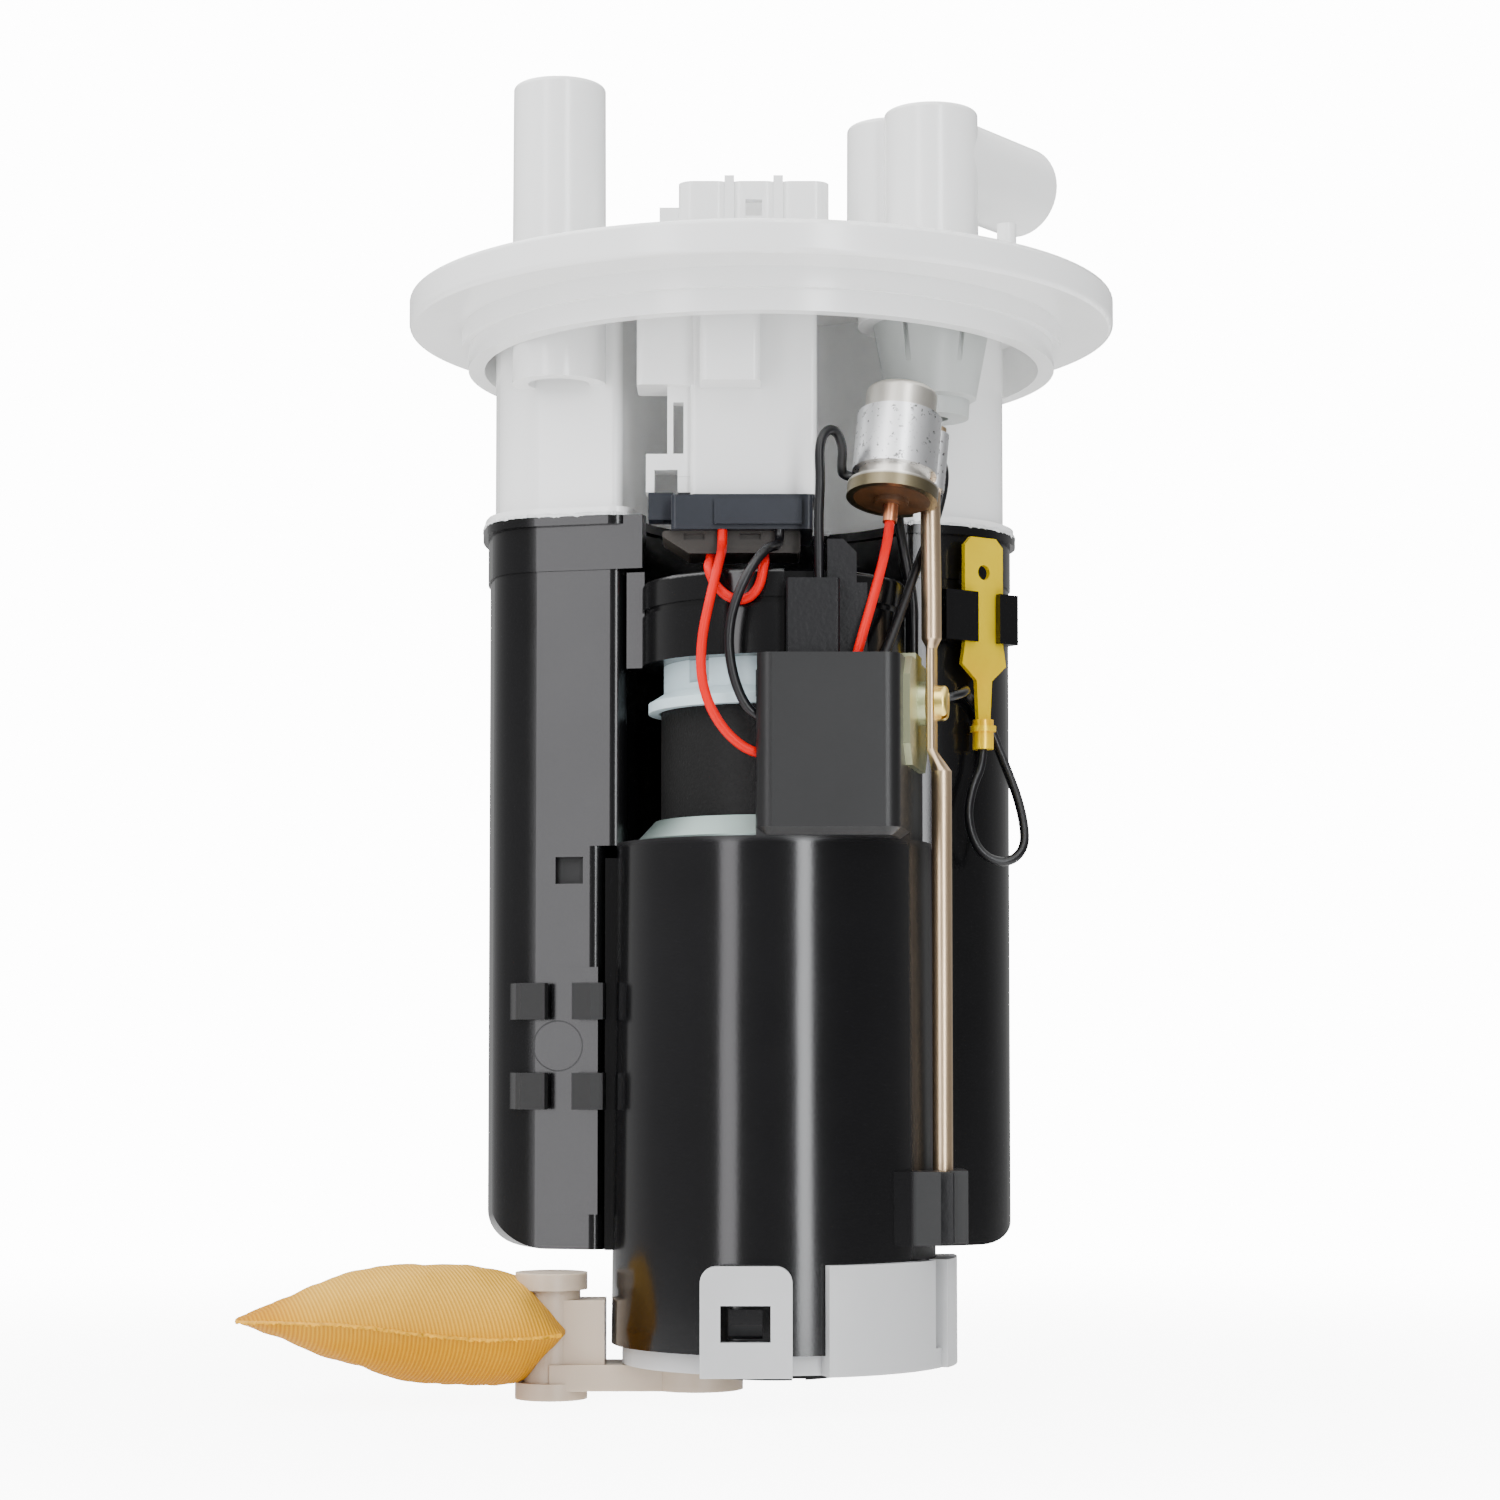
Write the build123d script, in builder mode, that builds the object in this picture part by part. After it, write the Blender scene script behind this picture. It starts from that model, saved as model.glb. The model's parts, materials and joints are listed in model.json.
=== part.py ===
from build123d import *
from math import atan2, cos, degrees, radians, sin, sqrt, tan
import os

# Fuel pump module for a vehicle tank: a flange with a C-shaped filter canister under it,
# which holds an electric turbine pump in its slot and a strainer below.
# Millimetres. The origin is the centre of the underside of the flange's rim, where the
# module sits on the tank. +Z points up out of the tank, and the service side faces -Y.

os.makedirs("parts", exist_ok=True)

# General clearances
running_fit = 0.04
sliding_fit = 0.05
loose_fit = 0.3

# Flange
rim_radius = 57.5
rim_thickness = 5.2
web_underside = 2.0
step_radius = 49.0
step_depth = 3.0
spigot_radius = 47.9
spigot_depth = 6.4
spigot_wall = 2.6
draft = 0.2

# Towers and ports on top of the flange
tower_radius = 7.4
left_tower = (-32.0, -20.0)
left_tower_top = 35.6
left_boss_bottom = -12.0
left_bore_radius = 4.9
front_tower = (26.8, -21.0)
rear_tower = (21.2, -12.4)
right_tower_top = 31.2
regulator_bore_radius = 5.2
riser_bore_radius = 4.2
tower_roof = 3.6
port_height = 24.0
port_length = 26.5
port_angle = 53.13
port_bore_radius = 4.6
port_bore_length = 15.0
port_duct_radius = 3.2
cross_duct_height = 19.0
chamber_duct_radius = 2.0
ledge_height = 1.5
ledge_margin = 1.3
peg_centre = (37.7, -34.0)
peg_radius = 1.5
peg_height = 4.8
peg_base_radius = 2.3
peg_base_height = 1.2

# Wiring socket on top and connector block below
socket_left = -12.7
socket_right = 10.2
socket_front = -28.0
socket_back = -17.0
socket_top = 18.5
socket_wall = 1.6
socket_floor = 7.0
rib_rise = 0.9
rib_width = 1.5
block_left = -11.0
block_right = 8.5
block_front = -33.0
block_back = -18.0
block_bottom = -31.6
block_wall = 1.6
block_roof = -12.0
pin_row_y = -22.5
pin_pitch = 4.4
pin_width = 2.3
pin_thickness = 0.64
pin_top = 14.0
pin_bottom = -24.0
pin_count = 4

# Filter canister: a C in plan, open to the front around the pump
pump_centre = (1.9, -22.0)
canister_centre = (-1.37, 0.0)
canister_radius = 42.8
wing_point = (-27.0, -20.2)
wing_lean = 14.0
wing_corner_radius = 10.0
lobe_radius = 17.5
lobe_angle = 12.8
tip_radius = 2.2
upper_slot_radius = 23.2
lower_slot_radius = 26.4
slot_step = -85.0
canister_wall = 2.2
shell_inset = 0.8
weld_height = -33.0
weld_flash = 0.9
weld_flash_height = 1.4
case_bottom = -148.0
case_corner_radius = 5.5
upper_band_bottom = -41.5
upper_band_rise = 0.35
band_tip_reach = 8.6
band_tip_start = 3.0

# Sender rails, recess and land on the left wing
rail_levels = (-112.2, -126.2)
rail_height = 5.7
rail_gap = 1.5
rail_lip = 1.8
rail_foot = 2.3
left_rail = (-13.6, -10.2, -6.2)
right_rail = (-1.8, 1.2, 3.0)
rail_foot_depth = 7.0
recess_width = 4.5
recess_height = 4.2
recess_depth = 1.2
recess_centre = (-3.3, -88.8)
land_right = 1.6
land_width = 7.6
land_rise = 0.5
land_top = -104.0

# Pleated element in the canister
element_clearance = 1.4
element_bottom = -142.0
element_top = -8.0
paper_thickness = 0.7
pleat_count = 30
pleat_start = 37.0
pleat_end = 168.0
end_cap_thickness = 1.6

# Pump
pump_radius = 21.3
casing_wall = 1.5
pump_bottom = -162.0
shoulder_bottom = -84.5
shoulder_top = -81.5
cap_radius = 17.6
cap_top = -63.4
roll_depth = 0.9
inlet_cover_height = 7.0
impeller_radius = 15.4
impeller_thickness = 3.4
impeller_clearance = 0.05
vane_count = 24
body_plate_height = 7.0
shaft_radius = 2.0
armature_radius = 13.4
armature_height = 38.0
magnet_inner_radius = 14.2
magnet_height = 46.0
slot_count = 8
commutator_radius = 9.2
commutator_height = 6.0
brush_offset = 7.2
brush_side = 3.6
brush_length = 8.0
nipple_offset = 8.0
nipple_radius = 5.0
nipple_bore_radius = 3.6
nipple_top = -51.5
inlet_offset = 12.0
inlet_radius = 5.5
inlet_bore_radius = 3.6
inlet_length = 5.6

# Spacer ring and top holder
spacer_radius = 17.2
spacer_lip_radius = 19.6
spacer_top = -57.3
holder_disc_radius = 20.6
holder_disc_top = -44.4
duct_height = -46.5
duct_radius = 4.8
duct_bore_radius = 2.4
seal_section = 1.0
lug_left = 6.1
lug_width = 2.9
lug_top = -42.2

# Pump holder
sleeve_radius_top = 24.5
sleeve_radius_bottom = 25.2
sleeve_bottom = -162.0
sleeve_top = -85.0
box_left = -1.0
box_right = 19.3
box_front = -48.0
box_top = -57.8
box_wall = 1.8
box_floor = -79.5
bracket_lean = 10.0
rod_clip_bottom = -146.3
rod_clip_top = -135.2

# Terminal block in the wiring box
terminal_left = 3.6
terminal_right = 11.6
terminal_front = -46.0
terminal_back = -39.2
terminal_top = -46.4
riser_left = 9.8
riser_right = 14.2
riser_top = -40.2
column_right = 15.8
column_depth = 2.6
terminal_bottom = -75.0
terminal_lower_back = -42.0
terminal_ledge_top = -64.0
terminal_ledge_right = 17.6

# Bottom retainer and foot ring
plate_thickness = 3.0
plate_radius = 23.5
tab_top = -148.7
tab_wall = 2.0
front_tab = (-9.2, 4.4)
tab_window = (-6.2, 1.2)
tab_window_bottom = -159.8
tab_window_top = -154.4
foot_outer_radius = 10.5
foot_inner_radius = 7.4
foot_height = 2.0

# Strainer
hub_centre = (-32.6, -22.0)
hub_radius = 4.5
collar_radius = 5.6
hub_top = -151.3
hub_bottom = -170.7
collar_height = 2.6
arm_width = 10.0
arm_floor = -169.2
socket_boss_radius = 7.2
sock_tip = -82.6
sock_corner = -29.6
sock_half_width = 16.0

# Plug on the harness
plug_left = -13.9
plug_right = 7.8
plug_front = -36.0
plug_top = -32.2
plug_bottom = -37.5
retainer_left = -15.3
retainer_right = 5.9
retainer_front = -34.2
retainer_back = -24.0
retainer_bottom = -41.0

# Noise condenser
condenser_foot = (19.8, -36.5, -33.2)
condenser_tilt_right = 6.0
condenser_tilt_back = 12.0
can_radius = 5.5
can_wall = 0.5
can_length = 18.0
strap_radius = 6.5
strap_bottom = 4.2
strap_top = 13.6
can_rim_radius = 7.0
can_rim_height = 2.2
insulator_radius = 5.9
insulator_thickness = 1.5
pin_radius = 1.1

# Support rod, bracket and screw
rod_radius = 1.55
rod_foot = (27.6, -31.0)
flat_bottom = -71.0
flat_top = -55.5
flat_width = 4.8
flat_thickness = 1.3
rod_neck_length = 1.6
rod_knee_length = 3.2
bracket_thickness = 1.0
bracket_front = 12.0
bracket_back = 13.0
bracket_tab_depth = 2.0
bracket_low = -74.0
bracket_high = -57.5
screw_height = -63.8
screw_radius = 1.5
screw_head_radius = 2.75
screw_head_height = 1.9

# Blade terminal
blade_standoff = 3.1
blade_angle = 36.0
blade_width = 7.9
blade_thickness = 0.8
blade_hole_radius = 1.2
blade_top = -35.0
blade_shoulder = -52.0
crimp_top = -58.0
crimp_bottom = -69.0
barrel_height = 4.7

# Wires
wire_radius = 0.75

# Axes and section planes
vertical = (0, 0, 1)
pump_axis = Axis((*pump_centre, 0), vertical)
pump_section = Plane(origin=(*pump_centre, 0), x_dir=(1, 0, 0), z_dir=(0, -1, 0))


def level(z, centre=(0, 0)):
    """A horizontal sketch plane at height z, with its origin over a centre."""
    return Plane(origin=(*centre, z))


def circles_meet(centre_a, radius_a, centre_b, radius_b, side):
    """The point where two circles cross, on the left (+1) or right (-1) of the line a to b."""
    across = Vector(*centre_b) - Vector(*centre_a)
    along = (radius_a**2 - radius_b**2 + across.length**2) / (2 * across.length)
    off = sqrt(radius_a**2 - along**2)
    way = across.normalized()
    normal = Vector(-way.Y, way.X)
    return Vector(*centre_a) + way * along + normal * (off * side)


# The right lobe's centre
lobe_way = Vector(cos(radians(lobe_angle)), sin(radians(lobe_angle)))
lobe_middle = Vector(*canister_centre) + lobe_way * (canister_radius - lobe_radius)

# The wing's face leans back to the left. Along it is wing_way, and out of it is wing_out.
wing_way = Vector(cos(radians(wing_lean)), -sin(radians(wing_lean)))
wing_out = Vector(-sin(radians(wing_lean)), -cos(radians(wing_lean)))


def line_meets(start, centre, radius):
    """Where a line along the wing through a start point first meets a circle."""
    away = start - Vector(*centre)
    along = away.dot(wing_way)
    return start - wing_way * (along + sqrt(along**2 - away.dot(away) + radius**2))


def wing_level(z):
    """A horizontal sketch plane at height z. Its x runs along the wing's face and its -y points out of it."""
    return Plane(origin=(*wing_point, z), x_dir=tuple(wing_way), z_dir=vertical)


def canister_plan(grow, slot_radius):
    """The canister's plan, grown outwards by an offset, with its slot of a given radius."""
    middle = Vector(*canister_centre)
    pump = Vector(*pump_centre)
    outer = canister_radius + grow
    slot = slot_radius - grow
    face = Vector(*wing_point) + wing_out * grow
    inner_line = face - wing_out * (wing_corner_radius + grow)
    corner = line_meets(inner_line, middle, canister_radius - wing_corner_radius)
    corner_start = middle + (corner - middle).normalized() * outer
    corner_end = corner + wing_out * (wing_corner_radius + grow)
    lobe = lobe_middle
    wing_tip = line_meets(face, pump, slot)
    lobe_tip = circles_meet((pump.X, pump.Y), slot, (lobe.X, lobe.Y), lobe_radius + grow, -1)
    lobe_front = lobe + Vector(0.6, -0.8) * (lobe_radius + grow)
    corner_way = ((corner - middle).normalized() + wing_out).normalized()
    corner_mid = corner + corner_way * (wing_corner_radius + grow)
    with BuildSketch() as plan:
        with BuildLine():
            Line(wing_tip, corner_end)
            ThreePointArc(corner_end, corner_mid, corner_start)
            ThreePointArc(corner_start, middle + Vector(0, outer), middle + lobe_way * outer)
            ThreePointArc(middle + lobe_way * outer, lobe_front, lobe_tip)
            ThreePointArc(lobe_tip, pump + Vector(0, slot), wing_tip)
        make_face()
        tips = plan.vertices().filter_by(
            lambda corner_point: min(
                (Vector(*corner_point) - wing_tip).length,
                (Vector(*corner_point) - lobe_tip).length,
            )
            < 0.01
        )
        fillet(tips, max(tip_radius + grow, 0.4))
    return plan.sketch


def sector(centre, inner, outer, start, end):
    """A ring sector about a centre, between two angles in degrees."""
    low = Vector(cos(radians(start)), sin(radians(start)))
    high = Vector(cos(radians(end)), sin(radians(end)))
    half = Vector(cos(radians((start + end) / 2)), sin(radians((start + end) / 2)))
    middle = Vector(*centre)
    with BuildSketch() as ring:
        with BuildLine():
            Line(middle + low * inner, middle + low * outer)
            ThreePointArc(middle + low * outer, middle + half * outer, middle + high * outer)
            Line(middle + high * outer, middle + high * inner)
            ThreePointArc(middle + high * inner, middle + half * inner, middle + low * inner)
        make_face()
    return ring.sketch


def save(piece, name):
    """Label a finished piece and write it as one STEP file."""
    piece.part.label = name
    export_step(piece.part, f"parts/{name}.step")


# Flange with the upper shell of the canister, one moulding
port_way = Vector(cos(radians(port_angle)), sin(radians(port_angle)))
port_plane = Plane(
    origin=(*front_tower, port_height), x_dir=(-port_way.Y, port_way.X, 0), z_dir=port_way
)
cross_way = Vector(*front_tower) - Vector(*rear_tower)
cross_plane = Plane(
    origin=(*rear_tower, cross_duct_height), x_dir=vertical, z_dir=cross_way.normalized()
)
chamber_port = Plane(origin=(rear_tower[0], -5.2, web_underside - 1), z_dir=(0, -0.62, 0.785))

with BuildPart() as flange:
    with BuildSketch(level(0)):
        Circle(rim_radius)
    extrude(amount=rim_thickness)
    fillet(flange.edges().filter_by(GeomType.CIRCLE), 0.8)
    with BuildSketch(level(-step_depth)):
        Circle(step_radius)
    extrude(amount=step_depth)
    with BuildSketch(level(-spigot_depth)):
        Circle(spigot_radius)
    extrude(amount=spigot_depth)
    with BuildSketch(level(-spigot_depth)):
        Circle(spigot_radius - spigot_wall)
    extrude(amount=spigot_depth + web_underside, mode=Mode.SUBTRACT)
    # Boss under the left tower, open to the front half only
    with BuildSketch(level(left_boss_bottom, left_tower)):
        Circle(tower_radius)
    extrude(amount=web_underside - left_boss_bottom)
    with BuildSketch(level(left_boss_bottom, left_tower)):
        Circle(left_bore_radius)
    extrude(amount=rim_thickness - left_boss_bottom, mode=Mode.SUBTRACT)
    # Upper shell, its weld flash and its chamber
    with BuildSketch(level(weld_height)):
        add(canister_plan(-shell_inset, upper_slot_radius))
    extrude(amount=rim_thickness - 0.5 - weld_height)
    with BuildSketch(level(weld_height)):
        add(canister_plan(weld_flash, upper_slot_radius))
    extrude(amount=weld_flash_height)
    with BuildSketch(level(weld_height)):
        add(canister_plan(-shell_inset - canister_wall, upper_slot_radius))
    extrude(amount=web_underside - weld_height, mode=Mode.SUBTRACT)
    # Boss seat of the regulator
    with BuildSketch(level(-step_depth, front_tower)):
        Circle(11.6)
    extrude(amount=web_underside + step_depth)
    # Towers
    with BuildSketch(level(rim_thickness, left_tower)):
        Circle(tower_radius)
    extrude(amount=left_tower_top - rim_thickness, taper=draft)
    with BuildSketch(level(rim_thickness)):
        with Locations(front_tower, rear_tower):
            Circle(tower_radius + ledge_margin)
    extrude(amount=ledge_height)
    with BuildSketch(level(rim_thickness)):
        with Locations(front_tower, rear_tower):
            Circle(tower_radius + 0.1)
    extrude(amount=right_tower_top - rim_thickness, taper=draft)
    tower_tops = flange.edges().filter_by(GeomType.CIRCLE).group_by(Axis.Z)[-1]
    fillet(tower_tops, 0.8)
    right_tops = flange.edges().filter_by(lambda edge: abs(edge.center().Z - right_tower_top) < 0.01)
    fillet(right_tops, 0.8)
    with BuildSketch(level(rim_thickness, left_tower)):
        Circle(left_bore_radius)
    extrude(amount=left_tower_top - tower_roof - rim_thickness, mode=Mode.SUBTRACT)
    # Outlet tube, horizontal from the front tower
    with BuildSketch(port_plane):
        Circle(tower_radius - 0.05)
    extrude(amount=port_length)
    port_end = port_plane.origin + port_way * port_length
    fillet(flange.edges().filter_by(GeomType.CIRCLE).sort_by_distance(port_end)[0], 0.6)
    with BuildSketch(port_plane):
        Circle(port_duct_radius)
    extrude(amount=port_length, mode=Mode.SUBTRACT)
    with BuildSketch(port_plane.offset(port_length - port_bore_length)):
        Circle(port_bore_radius)
    extrude(amount=port_bore_length, mode=Mode.SUBTRACT)
    # Ducts: regulator bore, riser from the chamber, and the duct between them
    with BuildSketch(level(-step_depth, front_tower)):
        Circle(regulator_bore_radius)
    extrude(amount=right_tower_top - tower_roof + step_depth, mode=Mode.SUBTRACT)
    with BuildSketch(level(rim_thickness, rear_tower)):
        Circle(riser_bore_radius)
    extrude(amount=right_tower_top - tower_roof - rim_thickness, mode=Mode.SUBTRACT)
    with BuildSketch(cross_plane):
        Circle(port_duct_radius)
    extrude(amount=cross_way.length, mode=Mode.SUBTRACT)
    with BuildSketch(chamber_port):
        Circle(chamber_duct_radius)
    extrude(amount=8.5, mode=Mode.SUBTRACT)
    # Locating peg
    with BuildSketch(level(rim_thickness, peg_centre)):
        Circle(peg_base_radius)
    extrude(amount=peg_base_height)
    with BuildSketch(level(rim_thickness, peg_centre)):
        Circle(peg_radius)
    extrude(amount=peg_height)
    # Wiring socket: three lobes with a thin rib between each two
    lobe_width = (socket_right - socket_left) / 3
    socket_middle = (socket_left + socket_right) / 2
    socket_depth = socket_back - socket_front
    with BuildSketch(level(rim_thickness, (socket_middle, (socket_front + socket_back) / 2))):
        with GridLocations(lobe_width, 0, 3, 1):
            RectangleRounded(lobe_width + 0.6, socket_depth, 2.4)
        Rectangle(socket_right - socket_left, socket_depth - 3)
    extrude(amount=socket_top - rim_thickness)
    with BuildSketch(level(rim_thickness, (socket_middle, socket_front + rib_width))):
        with GridLocations(lobe_width, 0, 2, 1):
            Rectangle(rib_width, 2 * rib_width)
    extrude(amount=socket_top - rim_thickness + rib_rise)
    with BuildSketch(level(socket_floor, (socket_middle, (socket_front + socket_back) / 2))):
        RectangleRounded(
            socket_right - socket_left - 2 * socket_wall, socket_depth - 2 * socket_wall - 1.2, 2
        )
    extrude(amount=socket_top - socket_floor + 2, mode=Mode.SUBTRACT)
    with BuildSketch(Plane.XZ.offset(-socket_front - 4)):
        with Locations((socket_middle, socket_top - 4.2)):
            Rectangle(2.6, 2.6)
    extrude(amount=8, mode=Mode.SUBTRACT)
    with BuildSketch(level(rim_thickness, (socket_left - 1.6, -22))):
        Rectangle(3.4, 8)
    extrude(amount=14.8 - rim_thickness)
    # Connector block under the web, with its nub, side block and latch
    block_middle = ((block_left + block_right) / 2, (block_front + block_back) / 2)
    with BuildSketch(level(block_bottom, block_middle)):
        RectangleRounded(block_right - block_left, block_back - block_front, 0.9)
    extrude(amount=web_underside - block_bottom + 1)
    with BuildSketch(level(-15.2, (-4.85, -36))):
        RectangleRounded(9.3, 7, 1.2)
    extrude(amount=15.2 + web_underside + 1)
    with BuildSketch(level(-14.6, (-14.7, -28.5))):
        RectangleRounded(9.2, 9, 1.0)
    extrude(amount=14.6 + web_underside + 1)
    with BuildSketch(level(-28.5, (-12.6, -29.5))):
        Rectangle(4.0, 3)
    extrude(amount=15)
    with BuildSketch(level(-25, (-12.9, -29.5))):
        Rectangle(1.6, 5)
    extrude(amount=8, mode=Mode.SUBTRACT)
    with BuildSketch(level(-31, (-14.2, -28.8))):
        Rectangle(7.4, 4)
    extrude(amount=6)
    with BuildSketch(level(-31, (-14.8, -28.8))):
        Rectangle(3.6, 5)
    extrude(amount=3.5, mode=Mode.SUBTRACT)
    with BuildSketch(level(block_bottom, block_middle)):
        Rectangle(
            block_right - block_left - 2 * block_wall, block_back - block_front - 2 * block_wall
        )
    extrude(amount=block_roof - block_bottom, mode=Mode.SUBTRACT)
    # Slots for the connector pins
    with BuildSketch(level(block_roof - 1, (block_middle[0], pin_row_y))):
        with GridLocations(pin_pitch, 0, pin_count, 1):
            Rectangle(pin_width, pin_thickness)
    extrude(amount=socket_floor - block_roof + 2, mode=Mode.SUBTRACT)
save(flange, "flange")

# Filter case, the black lower shell
case_barrel = Plane(origin=(*canister_centre, 0), x_dir=(1, 0, 0), z_dir=(0, -1, 0))
blade_way = Vector(sin(radians(blade_angle)), -cos(radians(blade_angle)))
blade_side = Vector(cos(radians(blade_angle)), sin(radians(blade_angle)))
blade_spot = lobe_middle + blade_way * (lobe_radius + blade_standoff)
blade_centre = (blade_spot.X, blade_spot.Y)
blade_plane = Plane(origin=(*blade_centre, 0), x_dir=tuple(blade_side), z_dir=vertical)

with BuildPart() as filter_case:
    with BuildSketch(level(case_bottom)):
        add(canister_plan(0, lower_slot_radius))
    extrude(amount=weld_height - case_bottom)
    with BuildSketch(level(slot_step)):
        add(canister_plan(0, upper_slot_radius))
    extrude(amount=weld_height - slot_step)
    with BuildSketch(level(upper_band_bottom)):
        add(canister_plan(upper_band_rise, upper_slot_radius))
    extrude(amount=weld_height - upper_band_bottom)
    with BuildSketch(wing_level(upper_band_bottom)):
        with Locations((band_tip_start, -upper_band_rise)):
            Rectangle(band_tip_reach - band_tip_start, canister_wall, align=(Align.MIN, Align.MIN))
    extrude(amount=weld_height - upper_band_bottom)
    with BuildSketch(level(weld_height - weld_flash_height)):
        add(canister_plan(weld_flash + 0.3, upper_slot_radius))
    extrude(amount=weld_flash_height)
    # Rounded lower corner of the barrel
    with BuildSketch(case_barrel):
        with BuildLine():
            Polyline(
                (canister_radius + 3, weld_height),
                (canister_radius + 3, upper_band_bottom - 5),
                (canister_radius, upper_band_bottom - 5),
                (canister_radius, case_bottom + case_corner_radius),
            )
            ThreePointArc(
                (canister_radius, case_bottom + case_corner_radius),
                (
                    canister_radius - case_corner_radius * (1 - sqrt(0.5)),
                    case_bottom + case_corner_radius * (1 - sqrt(0.5)),
                ),
                (canister_radius - case_corner_radius, case_bottom),
            )
            Polyline(
                (canister_radius - case_corner_radius, case_bottom),
                (0, case_bottom),
                (0, weld_height),
                (canister_radius + 3, weld_height),
            )
        make_face()
    revolve(axis=Axis((*canister_centre, 0), vertical), mode=Mode.INTERSECT)
    # Rails for the level sender, with the land between them
    with BuildSketch(wing_level(case_bottom + case_corner_radius)):
        with Locations((land_right, -land_rise)):
            Rectangle(land_width, 2 * land_rise, align=(Align.MAX, Align.MIN))
    extrude(amount=land_top - case_bottom - case_corner_radius)
    lip_front = -rail_gap - rail_lip
    for rail_level in rail_levels:
        with BuildSketch(wing_level(rail_level)):
            with BuildLine():
                Polyline(
                    (left_rail[2], -rail_gap),
                    (left_rail[2], lip_front),
                    (left_rail[1], lip_front),
                    (left_rail[0], rail_gap),
                    (left_rail[0], rail_foot_depth),
                    (left_rail[0] + rail_foot, rail_foot_depth),
                    (left_rail[0] + rail_foot, -rail_gap),
                    close=True,
                )
            make_face()
        extrude(amount=rail_height)
        with BuildSketch(wing_level(rail_level)):
            with BuildLine():
                Polyline(
                    (right_rail[0], -rail_gap),
                    (right_rail[0], lip_front),
                    (right_rail[1], lip_front),
                    (right_rail[2], lip_front + 0.8),
                    (right_rail[2], -rail_gap / 2),
                    (right_rail[1], canister_wall / 2),
                    (right_rail[0] + 1.0, canister_wall / 2),
                    (right_rail[0] + 1.0, -rail_gap),
                    close=True,
                )
            make_face()
        extrude(amount=rail_height)
    # Moulded recess in the wing
    wing_face = Plane(origin=(*wing_point, 0), x_dir=tuple(wing_way), z_dir=(wing_out.X, wing_out.Y, 0))
    with BuildSketch(wing_face.offset(-recess_depth)):
        with Locations(recess_centre):
            Rectangle(recess_width, recess_height)
    extrude(amount=recess_depth + 3, mode=Mode.SUBTRACT)
    # Clip for the parked blade terminal on the right lobe
    with BuildSketch(blade_plane.offset(-52)):
        with Locations((0, 2.0)):
            Rectangle(blade_width + 3.2, 4.4)
        with Locations((-blade_width / 2 - 2.5, -0.2)):
            Rectangle(4.8, 3.0)
        with Locations((blade_width / 2 + 1.1, -0.4)):
            Rectangle(2.0, 2.6)
        with Locations((-blade_width / 2 + 0.3, -1.2), (blade_width / 2 - 0.3, -1.2)):
            Rectangle(2.8, 1.0)
    extrude(amount=8)
    with BuildSketch(blade_plane.offset(-52)):
        Rectangle(blade_width + 2 * sliding_fit, blade_thickness + 2 * sliding_fit)
    extrude(amount=8, mode=Mode.SUBTRACT)
    # Chamber
    with BuildSketch(level(case_bottom + canister_wall)):
        add(canister_plan(-canister_wall, lower_slot_radius))
    extrude(amount=weld_height - case_bottom - canister_wall, mode=Mode.SUBTRACT)
    with BuildSketch(level(slot_step + canister_wall)):
        add(canister_plan(-canister_wall, upper_slot_radius))
    extrude(amount=weld_height - slot_step - canister_wall, mode=Mode.SUBTRACT)
    # Inlet port at the back of the slot
    with BuildSketch(Plane(origin=(*pump_centre, duct_height), x_dir=(1, 0, 0), z_dir=(0, 1, 0))):
        Circle(duct_radius + sliding_fit)
    extrude(amount=upper_slot_radius + canister_wall + 2, mode=Mode.SUBTRACT)
save(filter_case, "filter_case")

# Filter element: a pleated ribbon round the slot, with an end cap at the top and bottom
pleat_inner = lower_slot_radius + canister_wall + element_clearance


def chamber_reach(angle):
    """Distance from the pump's axis to the far side of the pleats, at an angle in degrees."""
    way = Vector(cos(radians(angle)), sin(radians(angle)))
    offset = Vector(*pump_centre) - Vector(*canister_centre)
    room = canister_radius - shell_inset - canister_wall - element_clearance
    along = offset.dot(way)
    across = offset.length**2 - room**2
    full = -along + sqrt(along**2 - across)
    # Near the two tips of the C the pleats get shallower
    fade = min(1, (angle - pleat_start + 6) / 50, (pleat_end + 6 - angle) / 50)
    return pleat_inner + (full - pleat_inner) * max(fade, 0.16)


pleat_points = []
for pleat in range(pleat_count + 1):
    angle = pleat_start + (pleat_end - pleat_start) * pleat / pleat_count
    reach = pleat_inner if pleat % 2 == 0 else chamber_reach(angle)
    pleat_points.append(Vector(*pump_centre) + Vector(cos(radians(angle)), sin(radians(angle))) * reach)

with BuildPart() as filter_element:
    with BuildSketch(level(element_bottom)):
        for start, end in zip(pleat_points, pleat_points[1:]):
            panel = end - start
            with Locations((start + end) / 2):
                Rectangle(panel.length, paper_thickness, rotation=degrees(atan2(panel.Y, panel.X)))
    extrude(amount=element_top - element_bottom)
save(filter_element, "filter_element")

with BuildPart() as filter_end_caps:
    with BuildSketch(level(element_bottom - end_cap_thickness)):
        add(canister_plan(-canister_wall - element_clearance / 2, lower_slot_radius))
    extrude(amount=end_cap_thickness)
    with BuildSketch(level(element_top)):
        add(canister_plan(-canister_wall - shell_inset - element_clearance / 2, upper_slot_radius))
    extrude(amount=end_cap_thickness)
save(filter_end_caps, "filter_end_caps")

# Pump casing: a drawn tube, rolled in over the covers at both ends
casing_inner = pump_radius - casing_wall
cover_radius = casing_inner - running_fit

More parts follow.
